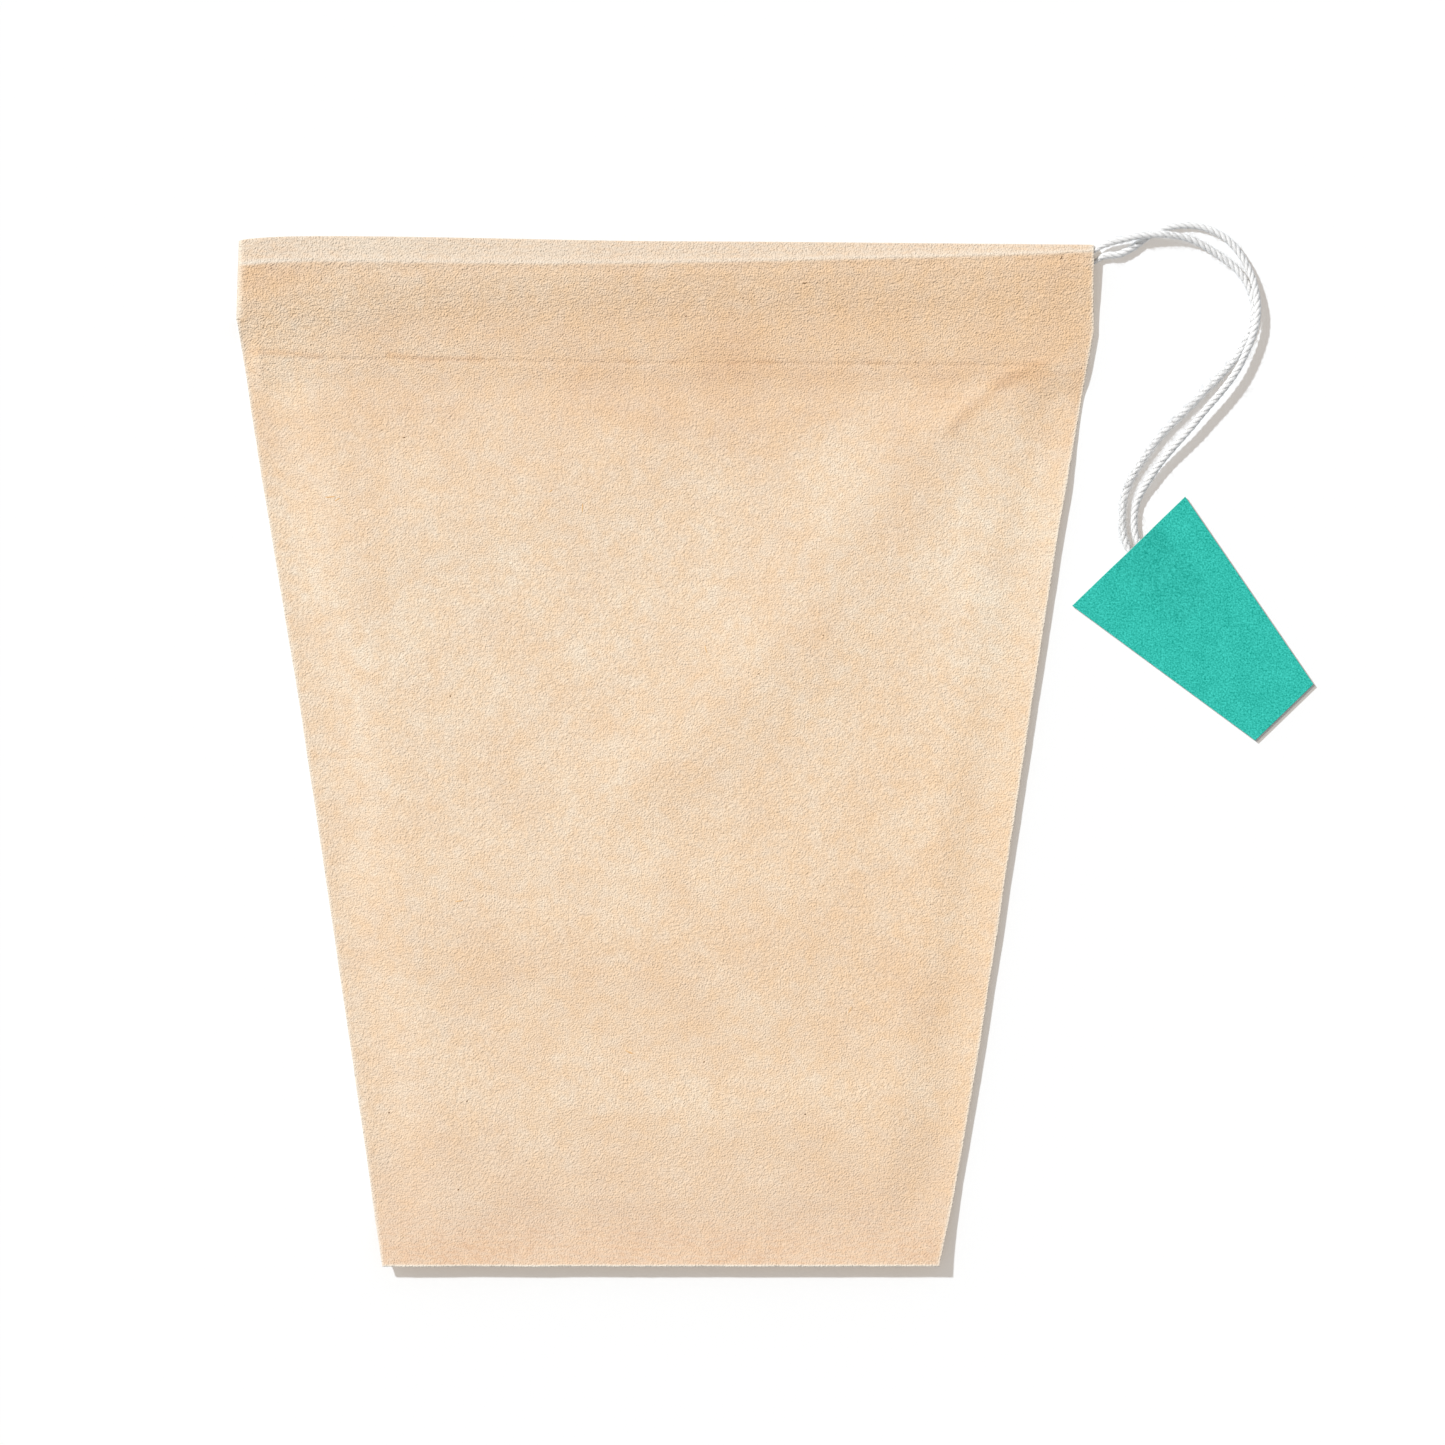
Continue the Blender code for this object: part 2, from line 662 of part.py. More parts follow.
def tag_ridge(across, down):
    """Rise of the front ply over the string's two ends."""
    middle = sum(CORD_IN_AT) / 2
    level = (CORD_IN_AT[1] - CORD_IN_AT[0] + CORD_DIAMETER) / 2 + CORD_CLEARANCE
    beside = smooth(1.0 - (abs(across - middle) - level) / RIDGE_SLOPE)
    return (CORD_DIAMETER + CORD_CLEARANCE + RIDGE_SPARE) * beside * clamp(1.0 - down / RIDGE_LENGTH)


def tag_half_width(down):
    return mix(TAG_WIDE, TAG_NARROW, down / TAG_LENGTH) / 2


def laid_on_tag(ply):
    ply.location = (TAG_PLACE[0], TAG_PLACE[1], 0.0)
    ply.rotation_euler = (0.0, 0.0, TAG_TURN)
    return ply


def tag_front_ply():
    level = TAG_CARD + TAG_GLUE + TAG_CARD / 2

    def place(column, row):
        down = TAG_LENGTH * (1.0 - row / TAG_ROWS)
        across = tag_half_width(down) * (2.0 * column / TAG_COLUMNS - 1.0)
        return Vector((across, -down, level + tag_ridge(across, down)))

    ply = shown("tag_front_ply", grid_mesh("tag_front_ply", TAG_COLUMNS, TAG_ROWS, place),
                CARD_COLOUR, CARD_ROUGHNESS)
    thicken = ply.modifiers.new("card", "SOLIDIFY")
    thicken.thickness = TAG_CARD
    thicken.offset = 0.0
    return laid_on_tag(ply)


def tag_back_ply():
    wide, narrow = TAG_WIDE / 2, TAG_NARROW / 2
    outline = [(-wide, -TAG_SLIP), (-narrow, -TAG_LENGTH - TAG_SLIP),
               (narrow, -TAG_LENGTH - TAG_SLIP), (wide, -TAG_SLIP)]
    mesh = curve_mesh("tag_back_ply", flat_outline("tag_back_ply", outline, TAG_CARD / 2))
    ply = laid_on_tag(shown("tag_back_ply", mesh, CARD_COLOUR, CARD_ROUGHNESS))
    ply.location.z = TAG_CARD / 2
    return ply


for thing in list(bpy.data.objects):
    bpy.data.objects.remove(thing)
MODEL = bpy.data.collections.new("paper_tea_filter")
CUTTERS = bpy.data.collections.new("seals_and_die")
bpy.context.scene.collection.children.link(MODEL)
bpy.context.scene.collection.children.link(CUTTERS)

filter_bag()
drawstring()
tag_front_ply()
tag_back_ply()
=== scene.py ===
"""The looks of a flat paper tea filter with a cotton drawstring and a card tag.

Metres, +Z up, +X along the hem towards the string, +Y towards the mouth. The origin is
on the table, under the middle of the bag.
"""
import math
import random

import bmesh
import bpy
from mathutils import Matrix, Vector, noise


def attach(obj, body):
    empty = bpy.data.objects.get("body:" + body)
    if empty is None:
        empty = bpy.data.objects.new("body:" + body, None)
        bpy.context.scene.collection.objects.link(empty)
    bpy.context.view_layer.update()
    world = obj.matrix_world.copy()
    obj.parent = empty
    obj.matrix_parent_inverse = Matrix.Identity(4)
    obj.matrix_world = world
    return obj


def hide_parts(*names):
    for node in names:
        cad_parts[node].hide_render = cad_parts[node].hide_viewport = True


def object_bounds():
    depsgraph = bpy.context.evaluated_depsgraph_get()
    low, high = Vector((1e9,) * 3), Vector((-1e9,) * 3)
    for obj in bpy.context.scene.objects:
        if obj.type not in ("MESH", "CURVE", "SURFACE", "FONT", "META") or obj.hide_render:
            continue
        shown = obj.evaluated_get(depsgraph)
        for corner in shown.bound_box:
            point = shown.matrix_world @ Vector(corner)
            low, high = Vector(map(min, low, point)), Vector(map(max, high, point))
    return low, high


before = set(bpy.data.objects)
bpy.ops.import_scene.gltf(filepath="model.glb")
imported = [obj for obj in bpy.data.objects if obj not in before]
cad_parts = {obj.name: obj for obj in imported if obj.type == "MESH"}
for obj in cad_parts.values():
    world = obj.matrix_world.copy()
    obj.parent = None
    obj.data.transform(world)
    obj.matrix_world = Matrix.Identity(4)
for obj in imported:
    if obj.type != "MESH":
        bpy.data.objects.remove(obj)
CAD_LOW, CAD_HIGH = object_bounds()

# Photo's frame: its width, its middle, and the height of the camera above the table
FRAME_WIDTH = 0.1445
FRAME_MIDDLE = (0.00575, 0.002875)
CAMERA_HEIGHT = 1.0
SENSOR = 36.0

# Light: one lamp from the upper left, and an even glow round it
SUN_WAY = (0.75, -0.64, -1.0)
SUN_STRENGTH = 2.67
SUN_ANGLE = math.radians(3.0)
GLOW = 0.4
FLOOR_SIZE = 20.0
# The floor's own colour is cool and its glow, seen by the camera alone, warm, so the lit floor shows white;
# the warm glow paints a warm tint into every shadow on the floor
FLOOR_COLOUR = (0.742, 0.805, 0.865)
FLOOR_WARM_GLOW = (0.258, 0.195, 0.135)

# Outline of the bag
BAG_LENGTH = 0.10285
MOUTH_WIDTH = 0.0857
BASE_WIDTH = 0.0558
BASE_SHIFT = -0.00015
LEFT_SHOULDER = 0.008
RIGHT_SHOULDER = 0.0088
SHOULDER_STEP = 0.0001
BOW_FADE = 0.04
CUT_WAVER = 0.00005
WAVER_RATES = (180.0, 900.0)
WAVER_FAST = 0.6
WAVER_SEEDS = {"left": 1.0, "right": 2.0, "base": 3.0}

# How far the cut sides wander to the right of their straight lines, at depths below the top
LEFT_BOW = [(0.008, 0.0), (0.022, -0.00006), (0.028, 0.0), (0.038, 0.0001), (0.046, 0.0002),
            (0.062, 0.00014), (0.072, 0.00006), (0.08, 0.0), (0.09, -0.00008),
            (0.097, -0.00016), (0.103, -0.0002)]
RIGHT_BOW = [(0.0088, 0.0), (0.025, -0.00016), (0.03, -0.00018), (0.043, -0.0001),
             (0.054, -0.00002), (0.064, 0.00006), (0.071, 0.00013), (0.082, 0.00018),
             (0.092, 0.00009), (0.096, 0.0), (0.099, -0.00015), (0.103, -0.00035)]

# How far the top fold wanders below its highest line, at places along it
TOP_BOW = [(-0.0428, 0.00032), (-0.0385, 0.0), (-0.03, -0.00004), (-0.018, 0.00015),
           (-0.004, 0.00041), (0.013, 0.00053), (0.0428, 0.00081)]

# Paper, hem and seals
PAPER = 0.00012
GLUE_GAP = 0.00005
MOUTH_GAP = 0.0001
SEAL_GAP = 0.000005
TUNNEL_DEPTH = 0.008
HEM_DEPTH = 0.012
SEAM_WIDTH = 0.001
FOLD_RADIUS = 0.00011
FRONT_FOLD_RADIUS = 0.00014
FOLD_OPENING = 2.5

# How the flat bag stands off the table and off itself
BASE_CURL = 0.00165
BASE_CURL_REACH = 0.0095
SIDE_CURL = 0.0006
SIDE_CURL_REACH = 0.012
SIDE_CURL_START = 0.015
CURL_LIMIT = 1.1
PUFF = 0.0005
PUFF_REACH = 0.008
PRESS_REACH = 0.004
FOLD_LEAN = 0.00025
HEM_STEP_WIDTH = 0.0045
HEM_FALL = 0.0046
HEM_RISE_BEND = 1.12
FALL_ROUNDING = 0.3
HEM_GROOVE = 0.00005
HEM_GROOVE_AT = 0.0003
HEM_GROOVE_WIDTH = 0.00025
CREST_RIDGE = 0.00012
CREST_FALL = 0.0009
CREST_WIDTH = 0.00045

# Soft folds in the front, each along its points, with a width and a height
SOFT_FOLDS = [
    ([(0.0389, 0.0396), (0.0275, 0.0325)], 0.0022, 0.00012),
    ([(0.0275, 0.0325), (0.0095, 0.0111)], 0.0055, 0.00028),
    ([(0.0158, 0.0104), (-0.0025, -0.0021)], 0.005, 0.00024),
    ([(-0.033, -0.017), (0.01, -0.02)], 0.007, 0.00018),
    ([(-0.01, -0.033), (0.022, -0.036)], 0.0065, 0.00016),
    ([(-0.033, 0.02), (-0.004, 0.029)], 0.006, 0.00018),
]

# Sharper creases in the front, each along its points, with a width and a height
CREASES = [
    ([(0.04, 0.0386), (0.0374, 0.0389), (0.0347, 0.0379), (0.0332, 0.0371), (0.0301, 0.0345),
      (0.0283, 0.0324)], 0.0006, 0.00008),
    ([(0.0395, 0.0486), (0.0365, 0.0431), (0.0392, 0.0426), (0.0403, 0.0411)], 0.00045, 0.00004),
    ([(-0.0355, 0.0346), (-0.0333, 0.0272)], 0.0005, 0.00004),
    ([(0.0298, 0.0228), (0.0312, 0.017), (0.0305, 0.014)], 0.0005, 0.00004),
    ([(0.0272, -0.0006), (0.0275, -0.0094)], 0.00045, 0.00003),
]

# Lines of another tone, each along its points, with its half width and tone. The first three follow the
# crease at the right: the two darker ones are painted shade along it, the lighter one a painted highlight
TONE_AND_SHADING_LINES = [
    ([(0.0377, 0.0385), (0.035, 0.0375), (0.0335, 0.0367), (0.0319, 0.0353), (0.0304, 0.0341),
      (0.0289, 0.0323)], 0.0007, 0.36),
    ([(0.0418, 0.0379), (0.0381, 0.0376), (0.0365, 0.0372)], 0.0003, 0.16),
    ([(0.037, 0.0383), (0.0392, 0.0384)], 0.0003, -0.24),
    ([(0.0263, 0.0355), (0.0303, 0.0355)], 0.0003, 0.2),
    ([(-0.0413, 0.04), (-0.0345, 0.0395)], 0.00035, 0.48),
    ([(-0.0275, 0.0396), (-0.024, 0.0392), (-0.0185, 0.0392)], 0.00035, 0.48),
    ([(-0.042, 0.0434), (-0.0345, 0.0436)], 0.00035, 0.14),
]

# Colours of the paper
PAPER_LIGHT = (255, 240, 218)
PAPER_DARK = (228, 178, 133)
PAPER_WARM = (252, 210, 162)
PAPER_PALE = (240, 226, 208)
PAPER_RIM_AND_HIGHLIGHT = (252, 244, 230)

# Layers of noise in the paper: their sizes, and what each adds to the tone or the relief
CLOUD_SIZE = 0.007
CLOUD_TONE = 0.14
BLOTCH_SIZE = 0.0012
BLOTCH_TURN = math.radians(-28.0)
BLOTCH_TONE = 0.1
WARM_SIZE = 0.0014
WARM_SHARE = 0.42
STROKE_SIZE = 0.0003
STROKE_SHARES = (0.75, 0.5)
PAPER_GRAIN = 0.00017
GRAIN_HEIGHT = 0.00016
GRAIN_SHARES = (0.8, 0.9)
WRINKLE_SIZE = 0.00034
WRINKLE_TURN = math.radians(-8.0)
WRINKLE_HEIGHT = 0.00014
SPECK_TONE = 0.1
SPECK_SHADE = (1.06, 0.9)
SPECK_MEAN = 0.16
TONE_ROOM = 0.3

# How dark the paper is from 0 to 1, and how pale, at depths below the top fold
TOP_TONE = 0.4
TOP_PALE = 0.55
TOP_EDGE = -0.0001
TOP_EDGE_WIDTH = 0.0004
TONE = [(0.0024, 0.4), (0.0045, 0.36), (0.0075, 0.38), (0.01, 0.4), (0.012, 0.44), (0.0132, 0.52),
        (0.0155, 0.4), (0.0185, 0.33), (0.0235, 0.17), (0.0285, 0.07), (0.04, 0.05), (0.06, 0.08),
        (0.075, 0.2), (0.085, 0.18), (0.0905, 0.28), (0.0975, 0.66), (0.101, 1.05)]
PALE = [(0.012, 0.0), (0.086, 0.05), (0.093, 0.18), (0.097, 0.28), (0.1028, 0.4)]

# How yellow the paper is from left to right, and three changes: a share, its depth and its reach
WARM = [(-0.042, 0.1), (-0.03, 0.0), (0.0, 0.07), (0.035, 0.19)]
WARM_LOSS = (0.85, 0.03, 0.018)
WARM_HEM = (0.1, 0.007, 0.004)
WARM_BASE = (-0.16, 0.092, 0.009)

# How coarse the crepe is, in the body and in the hem, where it is coarsest at the left
LEFT_END = -0.04
CREPE_BODY = 0.25
CREPE_HEM = (0.28, 0.4)
CREPE_LEFT_REACH = 0.03
CREPE_FADE = 0.004

# How whitish the paper is: a painted highlight over the string's crest and round the left fold, and paler
# cut edges; and how wide that is
CREST_HIGHLIGHT = (0.3, 0.6)
CREST_HIGHLIGHT_WIDTH = 0.00022
CREST_HIGHLIGHT_LEFT_REACH = 0.006
LEFT_RIM_AND_HIGHLIGHT = 0.6
RIM_RIGHT = 0.7
RIM_BASE = 0.85
RIM_WIDTH = 0.0004
FOLD_HIGHLIGHT_WIDTH = 0.0011
RIM_BASE_WIDTH = 0.0003

# Patches of another tone: middle, half length, half width, turn in degrees, tone. The lighter patches over
# the hem's left half and just below it, and the one at the right edge below the hem, are painted light set
# against the shade of the slopes there
TONE_AND_LIGHT_PATCHES = [
    (-0.029, 0.0503, 0.011, 0.0011, 0, -0.34), (0.0065, 0.0338, 0.006, 0.003, 0, 0.14),
    (0.012, 0.0415, 0.005, 0.003, 0, 0.12), (0.012, 0.0156, 0.005, 0.004, 0, 0.1),
    (0.024, -0.024, 0.006, 0.006, 0, 0.1), (-0.0398, 0.0469, 0.0031, 0.0018, 0, 0.36),
    (-0.0385, 0.0422, 0.006, 0.0036, 0, -0.36), (-0.0385, 0.0501, 0.0025, 0.0008, 0, 0.22),
    (-0.0275, 0.0429, 0.0045, 0.0012, 16, 0.12), (-0.013, 0.0462, 0.014, 0.003, 0, -0.18),
    (-0.033, 0.045, 0.012, 0.0026, 0, -0.22), (-0.017, 0.0395, 0.01, 0.0014, 0, -0.14),
    (0.0319, 0.0358, 0.0007, 0.0004, 20, -0.3), (0.0075, 0.0401, 0.0045, 0.0055, 0, 0.2),
    (-0.006, 0.043, 0.006, 0.003, 10, 0.08), (-0.008, 0.034, 0.005, 0.004, 30, 0.14),
    (-0.0215, 0.0378, 0.007, 0.0022, 0, -0.2), (-0.016, 0.033, 0.003, 0.003, 0, -0.12),
    (0.014, 0.039, 0.004, 0.0025, 20, -0.14), (0.03, 0.0445, 0.007, 0.003, 10, 0.06),
    (0.0395, 0.042, 0.002, 0.005, 0, 0.1), (0.0275, 0.0405, 0.003, 0.0022, 0, -0.18),
    (-0.037, 0.0375, 0.005, 0.0035, 0, -0.36), (0.0395, 0.0363, 0.0012, 0.003, 0, -0.35),
    (0.018, 0.0305, 0.007, 0.003, 35, -0.24), (0.033, 0.028, 0.006, 0.01, 0, -0.2),
    (0.0335, 0.012, 0.005, 0.01, 0, -0.16), (0.023, 0.0225, 0.006, 0.002, 38, 0.14),
    (0.016, 0.013, 0.006, 0.0018, 45, 0.16), (0.005, 0.002, 0.007, 0.0018, 40, 0.12),
    (-0.024, 0.012, 0.008, 0.003, 30, -0.08), (-0.015, -0.005, 0.007, 0.004, 40, 0.08),
    (-0.01, -0.021, 0.024, 0.0026, 0, 0.1), (0.0055, -0.0347, 0.02, 0.002, 0, -0.16),
    (-0.022, -0.04, 0.005, 0.003, 20, 0.08), (0.018, -0.043, 0.006, 0.002, -20, 0.08),
]

# Darker dashes along the hem's inner edge: from, to, tone
HEM_DASHES = [(-0.0185, -0.0065, 0.2), (-0.0065, 0.0285, 0.34), (0.0285, 0.04, 0.22)]
DASH_WIDTH = 0.00028
DASH_RATE = 450.0
DASH_CONTRAST = 1.6
DASH_SEED = 5.0

# Specks in the paper: place, length, turn in degrees, bend in degrees
FLECKS = [
    (-0.0155, 0.046, 0.00022, 10, 0), (-0.0262, 0.0313, 0.0003, 20, 0), (0.002, 0.0434, 0.00028, 40, 0),
    (0.0249, 0.0389, 0.00028, 0, 0), (0.0394, 0.0491, 0.0006, 70, 70), (0.0137, 0.0468, 0.0006, 20, 80),
    (-0.0215, 0.0054, 0.00026, 60, 0), (0.0092, 0.0077, 0.0003, 10, 0), (0.0157, 0.0116, 0.00024, 0, 0),
    (0.0038, -0.0311, 0.00024, 30, 0), (-0.0198, -0.0351, 0.00028, 80, 0),
    (0.0139, -0.0363, 0.00026, 15, 0), (-0.0207, -0.0439, 0.00024, 50, 0),
    (-0.0277, -0.0362, 0.0003, 35, 0),
]
FLECK_RADIUS = 0.00008
FLECK_SINK = 0.5
FLECK_SIZES = (0.5, 0.9, 1.0, 0.8, 0.4)
FLECK_SIDES = 6

# Amber fibres that show at the surface: place, length, turn in degrees, bend in degrees
FIBRES = [
    (-0.0082, 0.0248, 0.0011, -90, 12), (-0.034, 0.0254, 0.0012, 8, 20), (-0.033, 0.025, 0.0007, 30, 0),
    (-0.0116, 0.0259, 0.0005, 40, 30), (0.004, 0.0106, 0.0009, -70, 25), (-0.021, -0.015, 0.001, 15, 30),
    (0.0183, -0.0262, 0.0008, 60, 0), (-0.004, -0.0298, 0.0011, -20, 35),
]
FIBRE_RADIUS = 0.00009

# Drawstring
CORD_DIAMETER = 0.00075
HEM_CORD_RADIUS = 0.00023
SWELL_REACH = 0.0015
CORD_CLEARANCE = 0.00007
TABLE_GAP = 0.00005
TURN_ROOM = 0.00015
TURN_RADIUS = 0.0018
CORD_END_RADIUS = 0.0002
CORD_IN_TAG = 0.0045
STRANDS = 3
STRAND_SHARE = 0.68
TWIST_PITCH = 0.0022
CORD_STEP = 0.0002
STRAND_SIDES = 10
STRAND_SWELL = 0.07
YARN_RATE = 900.0
YARN_ROUND = 2.2
YARN_TWIST = 1.6
YARNS_APART = 13.0
SWELLS_APART = 7.0

# Loose hairs on the string, most of them on the front strand near the tag
FUZZ_SEED = 7
FUZZ_HAIRS = 2200
FUZZ_LENGTH = (0.0003, 0.0008)
FUZZ_RADIUS = 0.000014
FUZZ_SIZES = (1.0, 0.9, 0.7, 0.3)
FUZZ_SIDES = 3
FUZZ_FROM = 0.044
FUZZ_OFF_TAG = 0.0005
FUZZ_BELOW = 0.4
FUZZ_ROOT = 0.8
FUZZ_REACH = 0.7
FUZZ_LEAN = (0.3, 1.1)
FUZZ_DROOP = 0.3
FUZZ_CURL = 0.5
FUZZ_FRONT = 0.3
FUZZ_BACK = 0.06
WORN_FROM = 0.046
WORN_REACH = 0.012

# Depth of the string below the top fold at places along the front and the back hem
FRONT_RUN = [(-0.0403, 0.00243), (-0.02, 0.00244), (0.0035, 0.002),
             (0.0235, 0.00142), (0.036, 0.00096), (0.04285, 0.00062)]
BACK_RUN = [(-0.0403, 0.00603), (-0.033, 0.00526), (-0.023, 0.004), (0.0035, 0.00325),
            (0.0235, 0.0027), (0.036, 0.0022), (0.04285, 0.00175)]

# The two free strands, from the hem to the tag: the one of the front hem, then that of the back
ON_TABLE = CORD_DIAMETER / 2 + TABLE_GAP
FRONT_STRAND = [
    (0.0439, 0.0506, 0.001), (0.0459, 0.05118, 0.00123), (0.0482, 0.05158, 0.00123),
    (0.0502, 0.05162, 0.00112), (0.0524, 0.0512, 0.0008), (0.0549, 0.0499, ON_TABLE),
    (0.0577, 0.0475, ON_TABLE), (0.05895, 0.044, ON_TABLE), (0.05765, 0.0403, ON_TABLE),
    (0.05345, 0.0355, ON_TABLE), (0.0488, 0.0306, ON_TABLE), (0.0459, 0.0253, ON_TABLE),
]
BACK_STRAND = [
    (0.0439, 0.0495, 0.00052), (0.0453, 0.04965, 0.0006), (0.0467, 0.0503, 0.0005),
    (0.0482, 0.0514, ON_TABLE), (0.0499, 0.05225, ON_TABLE), (0.0523, 0.0526, ON_TABLE),
    (0.0556, 0.0516, ON_TABLE), (0.05835, 0.0482, 0.00056), (0.0592, 0.0439, 0.0012),
    (0.0577, 0.0391, 0.00142), (0.053, 0.0329, 0.00138), (0.0488, 0.0278, 0.00086),
    (0.047, 0.0243, 0.0005),
]

# Tag
TAG_LENGTH = 0.0224
TAG_WIDE = 0.0157
TAG_NARROW = 0.0081
TAG_CARD = 0.00022
TAG_GLUE = 0.00005
TAG_SLIP = 0.00022
TAG_PLACE = (0.04635, 0.02)
TAG_TURN = math.radians(44.0)
CORD_IN_AT = (0.0001, 0.0013)
RIDGE_SLOPE = 0.0026
RIDGE_LENGTH = 0.009
RIDGE_SPARE = 0.00006

# Fineness of the meshes
EDGE_STEPS = (0.0, 0.0001, 0.00025, 0.0005, 0.001)
FRONT_COLUMNS = 170
BACK_COLUMNS = 24
FOLD_FACETS = 10
FLAP_ROWS = 5
STAGE_ROWS = 12
HEM_EDGE_ROWS = 8
HEM_EDGE = 0.0005
CREASE_ROWS = 30
CREASE_REACH = 0.011
BODY_ROWS = 92
TAG_EDGE = 0.002
TAG_COLUMNS = 48
TAG_ROWS = 64
TURN_FACETS = 6
HEM_POINTS = 9

TOP_Y = BAG_LENGTH / 2
GLUED = PAPER + GLUE_GAP
FLAPS_APART = PAPER + MOUTH_GAP
SEALED = PAPER + SEAL_GAP
CORD_ROOM = HEM_CORD_RADIUS + CORD_CLEARANCE + PAPER / 2
TURN_X = -MOUTH_WIDTH / 2 + PAPER + TURN_ROOM + CORD_DIAMETER / 2 + TURN_RADIUS
BACK_FLAP_LOW = PAPER / 2 + 2 * FOLD_RADIUS
BACK_FLAP_HIGH = PAPER / 2 + 2 * CORD_ROOM
BACK_FLAP_GLUED = PAPER / 2 + GLUED
FRONT_FLAP_LOW = BACK_FLAP_LOW + FLAPS_APART
CREST = FRONT_FLAP_LOW + 2 * CORD_ROOM
OVER_BACK = BACK_FLAP_HIGH + FLAPS_APART + GLUED
HEM_STACK = 2 * GLUED + FLAPS_APART
BACK_STRING_Z = PAPER / 2 + CORD_ROOM
FRONT_STRING_Z = FRONT_FLAP_LOW + CORD_ROOM
UP = Vector((0.0, 0.0, 1.0))


def clamp(value, low=0.0, high=1.0):
    return min(max(value, low), high)


def smooth(value):
    t = clamp(value)
    return t * t * t * (t * (6.0 * t - 15.0) + 10.0)


def mix(a, b, share):
    return a + (b - a) * share


def steps(start, end, count):
    return [mix(start, end, (k + 1) / count) for k in range(count)]


def bell(distance, width):
    """1 at no distance, and almost nothing from two widths on."""
    return math.exp(-(distance / width) ** 2)


def eased(share, rounding):
    """A share of the way that is partly straight and partly smooth."""
    return mix(share, smooth(share), rounding)


def between(start, end, lean_start, lean_end, span, t):
    """A number or point on a smooth curve, from both ends, their leans and the span between them."""
    return (start * (2 * t ** 3 - 3 * t ** 2 + 1) + end * (3 * t ** 2 - 2 * t ** 3)
            + lean_start * (span * (t ** 3 - 2 * t ** 2 + t)) + lean_end * (span * (t ** 3 - t ** 2)))


def along(points, x):
    """Value at x of a smooth curve through (x, value) points, level past its ends."""
    if x <= points[0][0]:
        return points[0][1]
    if x >= points[-1][0]:
        return points[-1][1]
    i = max(k for k in range(len(points) - 1) if points[k][0] <= x)
    slopes = []
    for k in (i, i + 1):
        before, after = points[max(k - 1, 0)], points[min(k + 1, len(points) - 1)]
        slopes.append((after[1] - before[1]) / (after[0] - before[0]))
    span = points[i + 1][0] - points[i][0]
    return between(points[i][1], points[i + 1][1], *slopes, span, (x - points[i][0]) / span)


def srgb(red, green, blue):
    """A colour given as 0 to 255 in a picture, as the linear values that a shader takes."""
    def linear(value):
        v = value / 255.0
        return v / 12.92 if v <= 0.04045 else ((v + 0.055) / 1.055) ** 2.4
    return (linear(red), linear(green), linear(blue))


# Camera, light and floor


def add_object(name, data):
    thing = bpy.data.objects.new(name, data)
    bpy.context.scene.collection.objects.link(thing)
    return thing


def make_camera():
    camera = bpy.data.cameras.new("camera")
    camera.sensor_width = SENSOR
    camera.lens = SENSOR * CAMERA_HEIGHT / FRAME_WIDTH
    thing = add_object("camera", camera)
    thing.location = (*FRAME_MIDDLE, CAMERA_HEIGHT)
    bpy.context.scene.camera = thing


def make_sun():
    lamp = bpy.data.lights.new("sun", "SUN")
    lamp.energy = SUN_STRENGTH
    lamp.angle = SUN_ANGLE
    add_object("sun", lamp).rotation_euler = Vector(SUN_WAY).to_track_quat("-Z", "Y").to_euler()


def node(tree, kind, values=None, **settings):
    """A shader node with its settings and its unlinked inputs."""
    made = tree.nodes.new(kind)
    for name, value in settings.items():
        setattr(made, name, value)
    for name, value in (values or {}).items():
        made.inputs[name].default_value = value
    return made


def join(tree, output, socket):
    tree.links.new(output, socket)


def maths(tree, operation, first, second):
    """A Math node; each side is a number or another node's output."""
    made = node(tree, "ShaderNodeMath", operation=operation)
    for socket, value in zip(made.inputs, (first, second)):
        if isinstance(value, (int, float)):
            socket.default_value = value
        else:
            join(tree, value, socket)
    return made.outputs[0]


def plus(tree, total, value, share):
    """A total and a share of a value, as a node's output."""
    return maths(tree, "ADD", total, maths(tree, "MULTIPLY", value, share))


def seen(tree):
    """1 for what the camera, a reflection or a look through something sees, 0 for light."""
    path = node(tree, "ShaderNodeLightPath").outputs
    direct = maths(tree, "MAXIMUM", path["Is Camera Ray"], path["Is Glossy Ray"])
    return maths(tree, "MAXIMUM", direct, path["Is Transmission Ray"])


def make_world():
    world = bpy.data.worlds.new("glow")
    world.use_nodes = True
    tree = world.node_tree
    background = tree.nodes["Background"]
    background.inputs["Color"].default_value = (1.0, 1.0, 1.0, 1.0)
    join(tree, plus(tree, GLOW, seen(tree), 1.0 - GLOW), background.inputs["Strength"])
    bpy.context.scene.world = world


def make_floor():
    material, tree, surface = material_tree("floor")
    surface.inputs["Base Color"].default_value = (*FLOOR_COLOUR, 1.0)
    # Painted warmth in the floor's shadows: a warm glow that only the camera sees
    surface.inputs["Emission Color"].default_value = (*FLOOR_WARM_GLOW, 1.0)
    join(tree, seen(tree), surface.inputs["Emission Strength"])
    set_gloss(surface, 1.0, 0.0)
    bm = bmesh.new()
    bmesh.ops.create_grid(bm, x_segments=1, y_segments=1, size=FLOOR_SIZE / 2)
    floor = show("floor", bm, material)
    floor.location.z = CAD_LOW.z - TABLE_GAP / 4


# Form of the bag


def left_cut(depth):
    """X of the die line on the left, at a depth below the top fold."""
    share = clamp((depth - LEFT_SHOULDER) / (BAG_LENGTH - LEFT_SHOULDER))
    straight = mix(-MOUTH_WIDTH / 2 + SHOULDER_STEP, -BASE_WIDTH / 2 + BASE_SHIFT, share)
    return straight + along(LEFT_BOW, depth)


